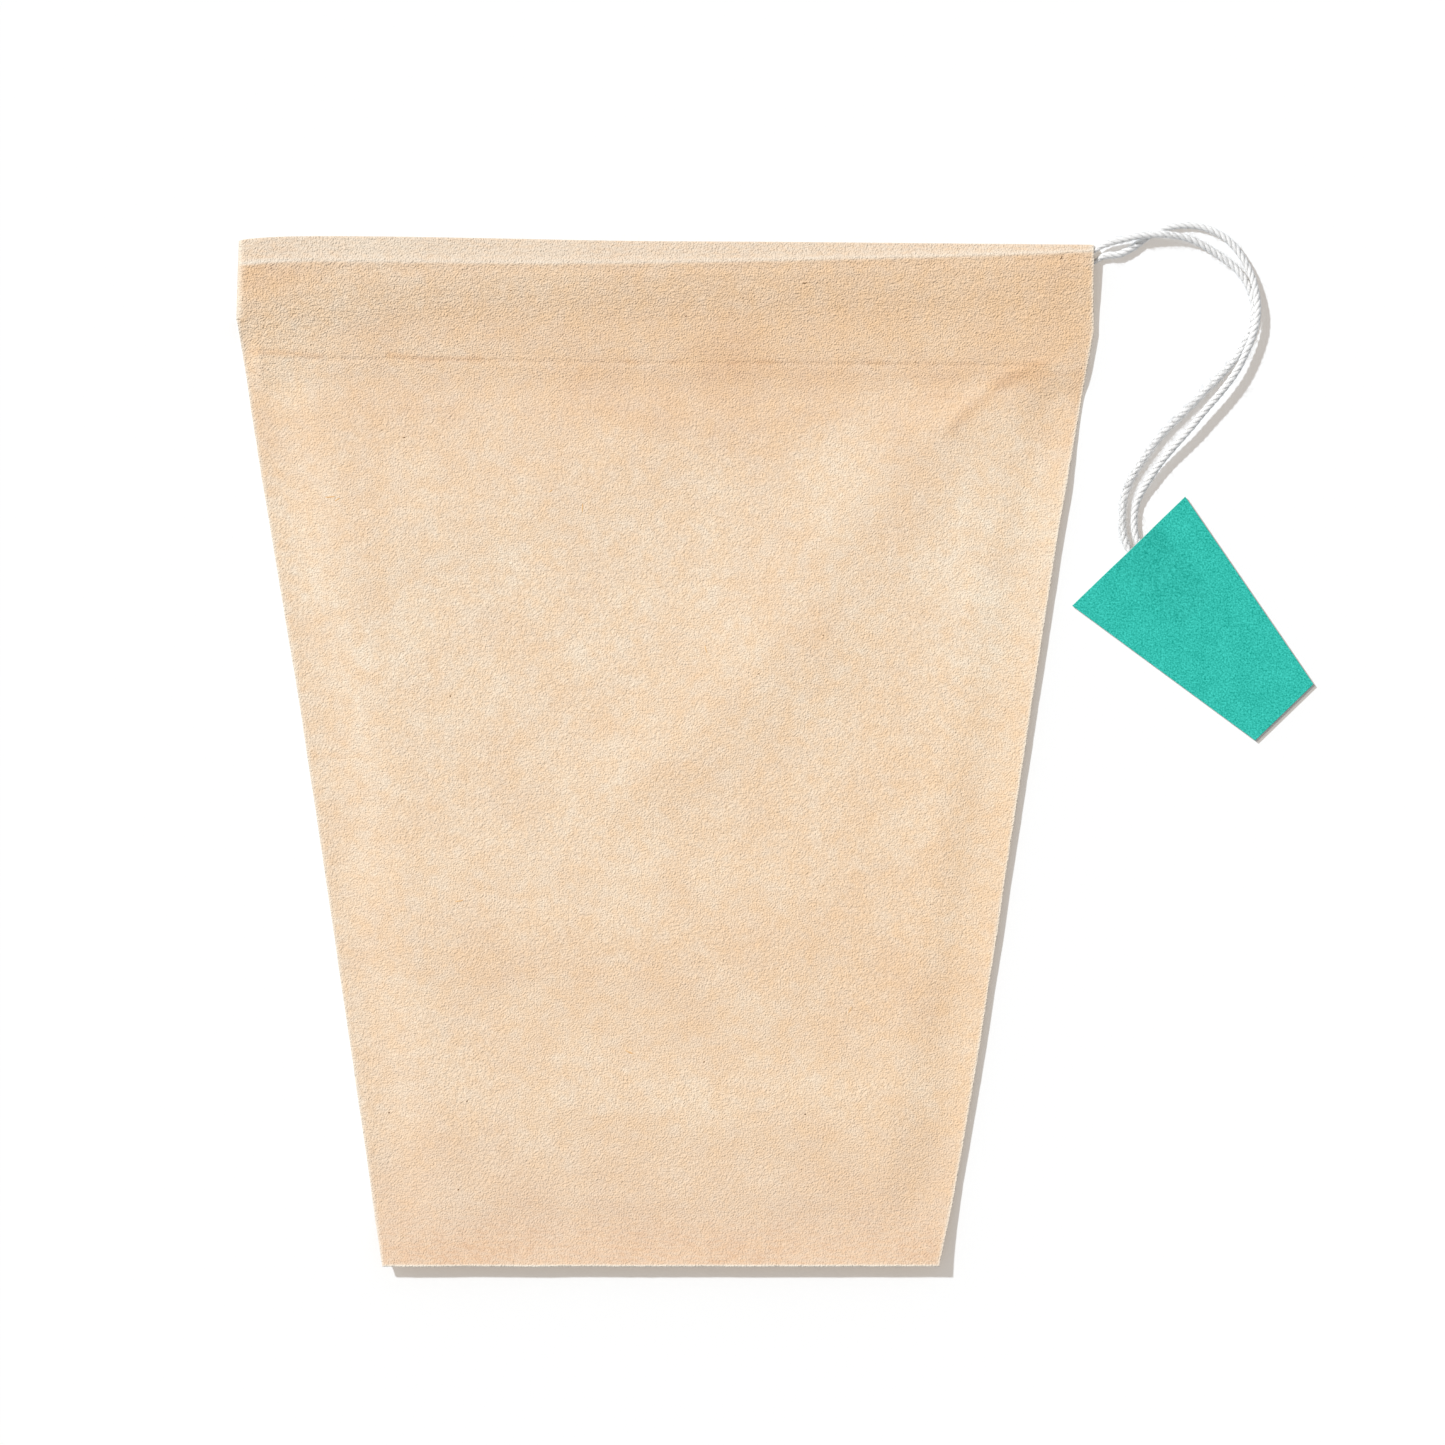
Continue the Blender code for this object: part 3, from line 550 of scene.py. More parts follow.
def right_cut(depth):
    share = clamp((depth - RIGHT_SHOULDER) / (BAG_LENGTH - RIGHT_SHOULDER))
    return mix(MOUTH_WIDTH / 2, BASE_WIDTH / 2 + BASE_SHIFT, share) + along(RIGHT_BOW, depth)


def waver(place, edge):
    """The small wander of a knife cut."""
    slow, fast = (noise.noise(Vector((place * rate, WAVER_SEEDS[edge], 0.0))) for rate in WAVER_RATES)
    return CUT_WAVER * (slow + WAVER_FAST * fast)


def y_at(x, depth):
    """Y at a depth below the slightly bowed top fold; the base is straight."""
    return TOP_Y - along(TOP_BOW, x) * (1.0 - smooth(depth / BOW_FADE)) - depth


def curl(x, depth):
    """How far the back ply stands off the table: the base and the right side curl up."""
    base = clamp((depth - BAG_LENGTH) / BASE_CURL_REACH + 1.0, 0.0, CURL_LIMIT) ** 2
    side = clamp((x - right_cut(depth)) / SIDE_CURL_REACH + 1.0, 0.0, CURL_LIMIT) ** 2
    side *= smooth((depth - SIDE_CURL_START) / SIDE_CURL_REACH)
    return mix(SIDE_CURL * side, BASE_CURL, base)


def away_from(x, y, x0, y0, x1, y1):
    """How far a place is from the stretch between two others."""
    dx, dy = x1 - x0, y1 - y0
    share = clamp(((x - x0) * dx + (y - y0) * dy) / (dx * dx + dy * dy))
    return math.hypot(x - x0 - share * dx, y - y0 - share * dy)


def lines_sum(lines, x, y):
    """Sum at a place of lines along points, each with a width and a value."""
    total = 0.0
    for points, width, value in lines:
        away = min(away_from(x, y, *start, *end) for start, end in zip(points, points[1:]))
        total += value * bell(away, width)
    return total


def ply_gap(x, depth):
    """Middle of the back ply to middle of the front ply, below the tunnel."""
    if depth <= HEM_DEPTH:
        return HEM_STACK
    side = min(x - left_cut(depth), right_cut(depth) - x) - SEAM_WIDTH
    base = BAG_LENGTH - SEAM_WIDTH - depth
    below = depth - HEM_DEPTH
    inside = smooth(side / PUFF_REACH)
    free = smooth(2 * side / PUFF_REACH) * smooth(2 * base / PUFF_REACH) * smooth(2 * below / PUFF_REACH)
    soft = free * lines_sum(SOFT_FOLDS, x, y_at(x, depth))
    body = SEALED + PUFF * inside * smooth(base / PUFF_REACH) + soft
    gap = mix(HEM_STACK, body, smooth(below / mix(HEM_STEP_WIDTH, PUFF_REACH, inside)))
    return gap - HEM_GROOVE * inside * bell(below - HEM_GROOVE_AT, HEM_GROOVE_WIDTH)


def run_depths(x):
    """Depths of the front and the back string at x."""
    x = max(x, TURN_X)
    return along(FRONT_RUN, x), along(BACK_RUN, x)


def front_fold_radius(x):
    """The front's top fold is tight, and opens round the string at the right end."""
    front, _ = run_depths(x)
    return mix(CORD_ROOM, FRONT_FOLD_RADIUS, smooth((front - CORD_ROOM) / (FOLD_OPENING * CORD_ROOM)))


def back_flap(x, depth):
    front, back = run_depths(x)
    if depth < front:
        return BACK_FLAP_LOW
    if depth < back:
        share = ((depth - front) / (back - front)) ** HEM_RISE_BEND
        return mix(BACK_FLAP_LOW, BACK_FLAP_HIGH, smooth(share))
    fall = clamp((depth - back) / (TUNNEL_DEPTH - back))
    return mix(BACK_FLAP_HIGH, BACK_FLAP_GLUED, eased(fall, FALL_ROUNDING))


def steepness(x, depth):
    """Stretch that keeps the plies apart where they run steeply."""
    step = PAPER / 2
    rise = (back_flap(x, depth + step) - back_flap(x, depth - step)) / (2 * step)
    return math.sqrt(1.0 + rise * rise)


def front_flap(x, depth):
    return back_flap(x, depth) + FLAPS_APART * steepness(x, depth)


def back_outer(x, depth):
    return PAPER / 2 + curl(x, depth)


def front_outer(x, depth):
    return front_level(x, depth) + lines_sum(CREASES, x, y_at(x, depth))


def front_level(x, depth):
    """The front ply's height, before its sharper creases."""
    if depth >= TUNNEL_DEPTH:
        gap = max(ply_gap(x, depth), hem_fall(x, depth) - PAPER / 2)
        if depth > LEFT_SHOULDER:
            pressed = 1.0 - smooth((x - left_cut(depth) - SEAM_WIDTH / 2) / SEAM_WIDTH)
            pressed *= smooth((depth - LEFT_SHOULDER) / PRESS_REACH)
            gap = mix(gap, min(gap, SEALED), pressed)
        return back_outer(x, depth) + gap
    front, back = run_depths(x)
    low = CREST - CREST_RIDGE
    if depth < front:
        radius = front_fold_radius(x)
        start = radius + PAPER / 2
        share = clamp((depth - start) / max(front - start, PAPER))
        ridge = bell(front - depth, CREST_WIDTH)
        return mix(FRONT_FLAP_LOW + 2 * radius, low, share) + CREST_RIDGE * share * ridge
    if depth < back:
        return mix(CREST, OVER_BACK, smooth((depth - front) / CREST_FALL))
    return max(front_flap(x, depth) + GLUED * steepness(x, depth), hem_fall(x, depth))


def hem_fall(x, depth):
    """The easiest way down for the front ply from the back string; 0 past its end."""
    share = (depth - run_depths(x)[1]) / HEM_FALL
    if share >= 1.0:
        return 0.0
    return mix(OVER_BACK, PAPER / 2 + HEM_STACK, eased(share, FALL_ROUNDING))


def hem_depth(side, x, stage):
    """Depth at a stage: 0 the top fold, 1 the front string, 2 the back string, 3 the seal."""
    front, back = run_depths(x)
    radius = front_fold_radius(x) if side == "front" else FOLD_RADIUS
    marks = [radius + PAPER / 2, front, back, TUNNEL_DEPTH]
    i = min(int(stage), 2)
    return mix(marks[i], marks[i + 1], stage - i)


def sheet_rows():
    """The sheet from the hem's inner edge, up the flap, over the top fold and down to the base."""
    rows = [("flap", HEM_DEPTH)]
    rows += [("flap", depth) for depth in steps(HEM_DEPTH, TUNNEL_DEPTH, FLAP_ROWS)[:-1]]
    rows += [("flap stage", stage) for stage in [3.0] + steps(3.0, 0.0, 2 * STAGE_ROWS)]
    rows += [("fold", math.pi * k / FOLD_FACETS) for k in range(1, FOLD_FACETS)]
    rows += [("outer stage", stage) for stage in [0.0] + steps(0.0, 3.0, 3 * STAGE_ROWS)]
    depths = [LEFT_SHOULDER + PAPER / 2]
    depths += steps(depths[-1], HEM_DEPTH - HEM_EDGE, 2 * FLAP_ROWS)
    depths += steps(depths[-1], HEM_DEPTH + HEM_EDGE, HEM_EDGE_ROWS)
    depths += steps(depths[-1], HEM_DEPTH + CREASE_REACH, CREASE_ROWS)
    depths += steps(depths[-1], BAG_LENGTH - EDGE_STEPS[-1], BODY_ROWS)
    depths += [BAG_LENGTH - step for step in reversed(EDGE_STEPS[:-1])]
    return rows + [("outer", depth) for depth in depths]


def ply_columns(side, angle, count):
    """Columns across a ply from right to left, closer together near both of its edges."""
    near = [(side, "right", step, angle) for step in EDGE_STEPS]
    middle = [(side, "middle", k / count, angle) for k in range(1, count)]
    far = [(side, "left", step, angle) for step in reversed(EDGE_STEPS)]
    return near + middle + far


def sheet_columns():
    """Across the front from right to left, round the left fold, and back across the back."""
    fold = [("fold", "left", 0.0, math.pi * k / FOLD_FACETS) for k in range(1, FOLD_FACETS)]
    back = ply_columns("back", math.pi, BACK_COLUMNS)[::-1]
    return ply_columns("front", 0.0, FRONT_COLUMNS) + fold + back


def column_x(kind, value, left, right):
    if kind == "right":
        return right - value
    if kind == "left":
        return left + value
    return mix(right - EDGE_STEPS[-1], left + EDGE_STEPS[-1], value)


def fold_point(left, low, high, angle, depth):
    """A point of the left fold round the ends of two layers, at an angle from its top."""
    radius = (high - low) / 2
    x = left - radius * math.sin(angle)
    return Vector((x, y_at(x, depth), low + radius * (1.0 + math.cos(angle))))


def outer_point(side, kind, value, angle, depth):
    """A point of the outer layer: side is front, back or the left fold between them."""
    folded = depth <= LEFT_SHOULDER
    left = left_cut(depth) + waver(depth, "left")
    if folded:
        left = -MOUTH_WIDTH / 2 + PAPER / 2 + FOLD_LEAN * clamp(1.0 - depth / LEFT_SHOULDER)
    right = right_cut(depth) + waver(depth, "right")
    if folded:
        near = left + SEAM_WIDTH
        low, high = back_outer(near, depth), front_outer(near, depth)
        left += (high - low) / 2
        if side == "fold":
            return fold_point(left, low, high, angle, depth)
    x = column_x(kind, value, left, right)
    z = back_outer(x, depth) if side == "back" else front_outer(x, depth)
    y = y_at(x, depth) + waver(x, "base") * smooth((depth - BAG_LENGTH) / SEAM_WIDTH + 1.0)
    return Vector((x, y, z))


def flap_point(side, kind, value, angle, depth):
    """A point of the hem's inner layer; its own left fold stops short of the string's turn."""
    left = TURN_X - PAPER
    if side == "fold":
        return fold_point(left, back_flap(left, depth), front_flap(left, depth), angle, depth)
    x = column_x(kind, value, left, right_cut(depth) + waver(depth, "right"))
    z = front_flap(x, depth) if side == "front" else back_flap(x, depth)
    return Vector((x, y_at(x, depth), z))


def sheet_point(column, row):
    side = column[0]
    stage, at = row
    if stage == "flap":
        return flap_point(*column, at)
    if stage == "outer":
        return outer_point(*column, at)
    guess = flap_point if stage == "flap stage" else outer_point
    if stage != "fold":
        x = guess(*column, TUNNEL_DEPTH).x
        return guess(*column, hem_depth(side, x, at))
    x = outer_point(*column, TUNNEL_DEPTH).x
    start = hem_depth(side, x, 0.0)
    inner = flap_point(*column, start)
    outer = outer_point(*column, start)
    point = inner.lerp(outer, (1.0 - math.cos(at)) / 2)
    point.y += (start - PAPER / 2) * math.sin(at)
    return point


def grid_piece(columns, rows, place):
    """A grid of vertices, each moved to place(column, row)."""
    bm = bmesh.new()
    bmesh.ops.create_grid(bm, x_segments=columns, y_segments=rows, size=0.5)
    for vertex in bm.verts:
        column = round((vertex.co.x + 0.5) * columns)
        row = round((vertex.co.y + 0.5) * rows)
        vertex.co = place(column, row)
    return bm


def show(name, bm, *materials):
    """An object of that name from a mesh in the making, with its materials."""
    mesh = bpy.data.meshes.new(name)
    bm.to_mesh(mesh)
    bm.free()
    mesh.shade_smooth()
    for material in materials:
        mesh.materials.append(material)
    return add_object(name, mesh)


def paint(mesh, name, value_at):
    """A number for each vertex, that the materials read by name."""
    layer = mesh.attributes.new(name, "FLOAT", "POINT")
    for vertex, entry in zip(mesh.vertices, layer.data):
        entry.value = value_at(vertex.co)


# Materials


def material_tree(name):
    material = bpy.data.materials.new(name)
    material.use_nodes = True
    return material, material.node_tree, material.node_tree.nodes["Principled BSDF"]


def set_gloss(surface, roughness, specular):
    surface.inputs["Roughness"].default_value = roughness
    surface.inputs["Specular IOR Level"].default_value = specular


def object_place(tree, turn=0.0, stretch=1.0):
    """Places on the object, turned and stretched along X for a grain with a direction."""
    place = node(tree, "ShaderNodeTexCoord").outputs["Object"]
    values = {"Rotation": (0.0, 0.0, turn), "Scale": (stretch, 1.0, 1.0)}
    mapping = node(tree, "ShaderNodeMapping", values)
    join(tree, place, mapping.inputs["Vector"])
    return mapping.outputs["Vector"]


def cloud(tree, place, size, detail=2.0, roughness=0.5):
    """Noise with features of about that size in metres."""
    values = {"Scale": 1.0 / size, "Detail": detail, "Roughness": roughness}
    made = node(tree, "ShaderNodeTexNoise", values)
    join(tree, place, made.inputs["Vector"])
    return made.outputs["Fac"]


def attribute(tree, name):
    return node(tree, "ShaderNodeAttribute", attribute_name=name).outputs["Fac"]


def blend(tree, share, first, second):
    """First to second colour; each is a picture's colour or another node's output."""
    made = node(tree, "ShaderNodeMix", data_type="RGBA")
    made.clamp_factor = True
    join(tree, share, made.inputs["Factor"])
    for socket, value in ((made.inputs[6], first), (made.inputs[7], second)):
        if isinstance(value, tuple):
            socket.default_value = (*srgb(*value), 1.0)
        else:
            join(tree, value, socket)
    return made.outputs[2]


def shade(tree, colour, share, low, high):
    """A colour made darker or lighter, from low where the share is 0 to high where it is 1."""
    made = node(tree, "ShaderNodeMix", data_type="RGBA", blend_type="MULTIPLY")
    made.inputs["Factor"].default_value = 1.0
    scale = node(tree, "ShaderNodeMapRange", {"To Min": low, "To Max": high})
    join(tree, share, scale.inputs["Value"])
    join(tree, colour, made.inputs[6])
    join(tree, scale.outputs["Result"], made.inputs[7])
    return made.outputs[2]


def bump(tree, height, distance, normal=None):
    made = node(tree, "ShaderNodeBump", {"Distance": distance})
    join(tree, height, made.inputs["Height"])
    if normal:
        join(tree, normal, made.inputs["Normal"])
    return made.outputs["Normal"]


def spread(tree, value, reach):
    """Stretches noise so that it runs from 0 to 1 within a reach of its middle."""
    made = node(tree, "ShaderNodeMapRange", {"From Min": 0.5 - reach, "From Max": 0.5 + reach})
    join(tree, value, made.inputs["Value"])
    return made.outputs["Result"]


def paper_material():
    """Unbleached filter paper: a fine crepe relief, cloudy fibres, darker where it is folded double."""
    material, tree, surface = material_tree("filter_paper")
    # Each layer of noise has a turn of its own, so that none repeats another
    plain = object_place(tree)
    clouds = spread(tree, cloud(tree, plain, CLOUD_SIZE, 3.0), 0.15)
    blotches = spread(tree, cloud(tree, object_place(tree, BLOTCH_TURN, 0.5), BLOTCH_SIZE), 0.20)
    warmth = spread(tree, cloud(tree, object_place(tree, 0.7), WARM_SIZE, 3.0, 0.65), 0.16)
    strokes = spread(tree, cloud(tree, object_place(tree, 0.6, 0.4), STROKE_SIZE), 0.12)
    wrinkles = cloud(tree, object_place(tree, WRINKLE_TURN, 0.5), WRINKLE_SIZE, 1.0)
    grain = cloud(tree, plain, PAPER_GRAIN, 1.0)
    specks = spread(tree, cloud(tree, object_place(tree, 1.9), PAPER_GRAIN, 1.0), 0.25)
    # The painted-on tone also carries painted shade and a painted highlight along the crease at the right,
    # and painted light on the hem's shaded slopes
    tone = attribute(tree, "tone")
    for layer, share in ((clouds, CLOUD_TONE), (blotches, BLOTCH_TONE), (specks, SPECK_TONE)):
        tone = plus(tree, tone, layer, share)
    colour = blend(tree, tone, PAPER_LIGHT, PAPER_DARK)
    colour = blend(tree, plus(tree, attribute(tree, "warm"), warmth, WARM_SHARE), colour, PAPER_WARM)
    colour = shade(tree, colour, specks, *SPECK_SHADE)
    least, more = STROKE_SHARES
    pale = maths(tree, "MULTIPLY", attribute(tree, "pale"), plus(tree, least, strokes, more))
    colour = blend(tree, pale, colour, PAPER_PALE)
    # Whitish cut edges, and a painted highlight along the string's crest and round the left fold
    colour = blend(tree, attribute(tree, "rim"), colour, PAPER_RIM_AND_HIGHLIGHT)
    join(tree, colour, surface.inputs["Base Color"])
    crepe = attribute(tree, "crepe")
    creping = bump(tree, maths(tree, "MULTIPLY", wrinkles, crepe), WRINKLE_HEIGHT)
    least, more = GRAIN_SHARES
    grain = maths(tree, "MULTIPLY", grain, plus(tree, least, crepe, more))
    join(tree, bump(tree, grain, GRAIN_HEIGHT, creping), surface.inputs["Normal"])
    set_gloss(surface, 0.92, 0.2)
    return material


def two_tones(name, size, dark, light, roughness, specular=0.5, detail=2.0, fineness=0.5, reach=0.15):
    """A dull material whose colour wanders between two tones."""
    material, tree, surface = material_tree(name)
    shades = spread(tree, cloud(tree, object_place(tree), size, detail, fineness), reach)
    join(tree, blend(tree, shades, dark, light), surface.inputs["Base Color"])
    set_gloss(surface, roughness, specular)
    return material


def fleck_material():
    return two_tones("bark_fleck", 0.0008, (104, 74, 44), (146, 110, 72), 0.8)


def fibre_material():
    return two_tones("amber_fibre", 0.0004, (226, 176, 116), (240, 204, 156), 0.9)


def cotton_material():
    """Soft twisted cotton: bright fibres that let some light through."""
    material, tree, surface = material_tree("cotton_string")
    place = node(tree, "ShaderNodeAttribute", attribute_name="yarn").outputs["Vector"]
    fibres = cloud(tree, place, 1.0, 3.0, 0.6)
    colour = blend(tree, spread(tree, fibres, 0.2), (250, 248, 244), (255, 254, 252))
    join(tree, colour, surface.inputs["Base Color"])
    join(tree, bump(tree, fibres, 0.00002), surface.inputs["Normal"])
    set_gloss(surface, 0.9, 0.2)
    surface.inputs["Subsurface Weight"].default_value = 0.8
    surface.inputs["Subsurface Radius"].default_value = (1.0, 1.0, 1.0)
    surface.inputs["Subsurface Scale"].default_value = 0.0001
    return material


def fuzz_material():
    return two_tones("cotton_fuzz", 0.001, (240, 240, 240), (254, 254, 254), 0.9, specular=0.1)


def card_material():
    """Printed uncoated card: an even colour broken by the card's fibres."""
    material, tree, surface = material_tree("tag_card")
    plain = object_place(tree)
    blotches = spread(tree, cloud(tree, plain, 0.0022, 3.0, 0.6), 0.20)
    fibres = spread(tree, cloud(tree, plain, 0.00017, 2.0, 0.6), 0.20)
    share = plus(tree, maths(tree, "MULTIPLY", blotches, 0.14), fibres, 0.86)
    join(tree, blend(tree, share, (0, 151, 134), (76, 222, 206)), surface.inputs["Base Color"])
    join(tree, bump(tree, fibres, 0.000008), surface.inputs["Normal"])
    set_gloss(surface, 0.75, 0.1)
    return material


def card_edge_material():
    """The card's unprinted side and its cut edges."""
    return two_tones("card_edge", 0.0002, (206, 206, 205), (238, 238, 236), 0.9,
                     detail=3.0, fineness=0.7, reach=0.25)


# Bag


def depth_of(place):
    down = TOP_Y - place.y
    return down - along(TOP_BOW, place.x) * (1.0 - smooth(down / BOW_FADE))


def patch_tone_and_light(place):
    total = 0.0
    for x, y, half_long, half_wide, turn, tone in TONE_AND_LIGHT_PATCHES:
        cos, sin = math.cos(math.radians(turn)), math.sin(math.radians(turn))
        dx, dy = place.x - x, place.y - y
        along_it, across_it = (dx * cos + dy * sin) / half_long, (dy * cos - dx * sin) / half_wide
        total += tone * math.exp(-along_it ** 2 - across_it ** 2)
    return total


def dash_tone(place, depth):
    """The broken dark line where the hem ends."""
    line = bell(depth - HEM_DEPTH - DASH_WIDTH / 2, DASH_WIDTH)
    broken = clamp(0.5 + DASH_CONTRAST * noise.noise(Vector((place.x * DASH_RATE, DASH_SEED, 0.0))))
    return sum(tone * line * broken for start, end, tone in HEM_DASHES if start < place.x < end)


def below_crest(place):
    """0 above the front string's crest, 1 below it."""
    return smooth((depth_of(place) - run_depths(place.x)[0] - TOP_EDGE) / TOP_EDGE_WIDTH)


def paper_tone_and_shading(place):
    depth = depth_of(place)
    # The patches add painted light on the hem's shaded slopes, as well as the paper's own uneven tone
    tone = mix(TOP_TONE, along(TONE, depth), below_crest(place)) + patch_tone_and_light(place)
    # Adds the lines, among them the painted shade and highlight along the crease at the right
    tone += dash_tone(place, depth) + lines_sum(TONE_AND_SHADING_LINES, place.x, place.y)
    return (tone + TONE_ROOM) / (1.0 + 2.0 * TONE_ROOM) - SPECK_MEAN


def hump(depth, share, middle, reach):
    return share * bell(depth - middle, reach)


def paper_warm(place):
    """How yellow the paper is: less below the hem and at the base, more in the hem."""
    depth = depth_of(place)
    share, start, reach = WARM_BASE
    base = share * smooth((depth - start) / reach)
    return along(WARM, place.x) * (1.0 - hump(depth, *WARM_LOSS)) + hump(depth, *WARM_HEM) + base


def paper_crepe(place):
    left = 1.0 - smooth((place.x - LEFT_END) / CREPE_LEFT_REACH)
    hem = 1.0 - smooth((depth_of(place) - HEM_DEPTH) / CREPE_FADE)
    return CREPE_BODY + hem * mix(*CREPE_HEM, left)


def paper_pale(place):
    return mix(TOP_PALE, along(PALE, depth_of(place)), below_crest(place))


def paper_rim_and_highlight(place):
    """Whitish at the cut edges; a painted highlight along the string's crest and round the left fold."""
    depth = depth_of(place)
    left_end = 1.0 - smooth((place.x - LEFT_END) / CREST_HIGHLIGHT_LEFT_REACH)
    crest = mix(*CREST_HIGHLIGHT, left_end) * bell(depth - run_depths(place.x)[0], CREST_HIGHLIGHT_WIDTH)
    if depth > LEFT_SHOULDER:
        left = (place.x - left_cut(depth)) / RIM_WIDTH
    else:
        left = (place.x + MOUTH_WIDTH / 2) / FOLD_HIGHLIGHT_WIDTH
    side = LEFT_RIM_AND_HIGHLIGHT * (1.0 - smooth(left))
    right = RIM_RIGHT * (1.0 - smooth((right_cut(depth) - place.x) / RIM_WIDTH))
    base = RIM_BASE * (1.0 - smooth((BAG_LENGTH - depth) / RIM_BASE_WIDTH))
    return max(crest, side, right, base)


def make_bag():
    columns, rows = sheet_columns(), sheet_rows()
    bm = grid_piece(len(columns) - 1, len(rows) - 1,
                    lambda column, row: sheet_point(columns[column], rows[row]))
    bm.verts.ensure_lookup_table()
    fold = [k for k, column in enumerate(columns) if column[0] == "fold"]
    last = max(k for k, row in enumerate(rows) if row[0] == "outer stage")
    cut = []
    width = len(columns)
    for face in bm.faces:
        places = [vertex.index for vertex in face.verts]
        over_fold = min(place % width for place in places) in range(fold[0] - 1, fold[-1] + 1)
        if over_fold and max(place // width for place in places) > last:
            cut.append(face)
    bmesh.ops.delete(bm, geom=cut, context="FACES")
    bag = show("bag_paper", bm, paper_material())
    # The tone also carries painted shade and light, and the rim a painted highlight along the string's
    # crest and round the left fold
    for name, value_at in (("tone", paper_tone_and_shading), ("pale", paper_pale), ("rim", paper_rim_and_highlight),
                           ("crepe", paper_crepe), ("warm", paper_warm)):
        paint(bag.data, name, value_at)
    thicken = bag.modifiers.new("paper", "SOLIDIFY")
    thicken.thickness = PAPER
    thicken.offset = 0.0
    thicken.use_even_offset = True
    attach(bag, "root")
    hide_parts("filter_bag")


def close_rings(bm, rings):
    """The faces of a closed tube through rings of vertices."""
    sides = len(rings[0])
    for ring, after in zip(rings, rings[1:]):
        for k in range(sides):
            n = (k + 1) % sides
            bm.faces.new((ring[k], ring[n], after[n], after[k]))
    bm.faces.new(rings[0][::-1])
    bm.faces.new(rings[-1])


def tube(bm, line, radius, sizes, sides):
    """A closed tube round a line, with a share of its radius at each of its points."""
    rings = []
    turns = [2.0 * math.pi * k / sides for k in range(sides)]
    for point, way, size in zip(line, directions(line), sizes):
        beside = way.cross(UP)
        if beside.length < 0.1:
            beside = way.cross(Vector((1.0, 0.0, 0.0)))
        beside.normalize()
        up = beside.cross(way)
        rings.append([bm.verts.new(point + radius * size * (beside * math.cos(t) + up * math.sin(t)))
                      for t in turns])
    close_rings(bm, rings)


def make_flecks(name, flecks, radius, material):
    """Bits of bark or fibre pressed into the front of the paper."""
    bm = bmesh.new()
    parts = len(FLECK_SIZES) - 1
    for x, y, length, turn, bend in flecks:
        line, place, heading = [], Vector((x, y, 0.0)), math.radians(turn - bend / 2)
        for _ in FLECK_SIZES:
            line.append(place.copy())
            place += Vector((math.cos(heading), math.sin(heading), 0.0)) * (length / parts)
            heading += math.radians(bend) / parts
        for point in line:
            point.z = front_outer(point.x, depth_of(point)) + PAPER / 2 - FLECK_SINK * radius
        tube(bm, line, radius, FLECK_SIZES, FLECK_SIDES)
    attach(show(name, bm, material), "root")


# String


def hem_run(points, z):
    """The string inside one hem, from its open end to the turn."""
    places = [mix(MOUTH_WIDTH / 2, TURN_X, k / HEM_POINTS) for k in range(HEM_POINTS + 1)]
    return [Vector((x, y_at(x, along(points, x)), z)) for x in places]


def hem_turn():
    """The string's turn at the left fold, from the back hem to the front hem."""
    front_depth, back_depth = run_depths(TURN_X)
    half = (back_depth - front_depth) / 2
    middle_y = y_at(TURN_X, front_depth + half)
    turn = []
    for k in range(1, TURN_FACETS):
        angle = math.pi * k / TURN_FACETS
        x = TURN_X - TURN_RADIUS * math.sin(angle)
        z = mix(BACK_STRING_Z, FRONT_STRING_Z, smooth(k / TURN_FACETS))
        turn.append(Vector((x, middle_y - half * math.cos(angle), z)))
    return turn


def tag_point(across, down, z):
    """A point of the tag, from its middle line and its wide edge, in the model's frame."""
    cos, sin = math.cos(TAG_TURN), math.sin(TAG_TURN)
    return Vector((TAG_PLACE[0] + across * cos + down * sin, TAG_PLACE[1] + across * sin - down * cos, z))


def tag_depth(point):
    """How far a point lies inside the tag's wide edge; negative outside it."""
    dx, dy = point.x - TAG_PLACE[0], point.y - TAG_PLACE[1]
    return dx * math.sin(TAG_TURN) - dy * math.cos(TAG_TURN)


def end_radius(down):
    return mix(CORD_DIAMETER / 2, CORD_END_RADIUS, clamp(down / CORD_IN_TAG))


def cord_radius(point):
    """The string is round where it is free, and pressed in the hem and between the tag's plies."""
    if tag_depth(point) > 0.0:
        return end_radius(tag_depth(point))
    free = smooth((point.x - MOUTH_WIDTH / 2) / SWELL_REACH)
    return mix(HEM_CORD_RADIUS, CORD_DIAMETER / 2, free)


def cord_end(across):
    """The pressed end of the string between the tag's plies, from the wide edge inwards."""
    bed = TAG_CARD + TAG_GLUE
    depths = [0.0, CORD_IN_TAG / 2, CORD_IN_TAG]
    return [tag_point(across, down, bed + end_radius(down)) for down in depths]


def cord_route():
    """The string's whole route: tag, back strand, back hem, turn, front hem, front strand, tag."""
    back = hem_run(BACK_RUN, BACK_STRING_Z)
    front = hem_run(FRONT_RUN, FRONT_STRING_Z)[::-1]
    from_back = [Vector(point) for point in reversed(BACK_STRAND)]
    from_front = [Vector(point) for point in FRONT_STRAND]
    left_end, right_end = (cord_end(at) for at in CORD_IN_AT)
    return right_end[::-1] + from_back + back + hem_turn() + front + from_front + left_end


def lean_at(before, point, after):
    """The route's slope at a point, from its two neighbours and how far away they are."""
    near, far = (point - before).length, (after - point).length
    if near == 0.0:
        return (after - point) / far
    if far == 0.0:
        return (point - before) / near
    return ((point - before) * (far / near) + (after - point) * (near / far)) / (near + far)


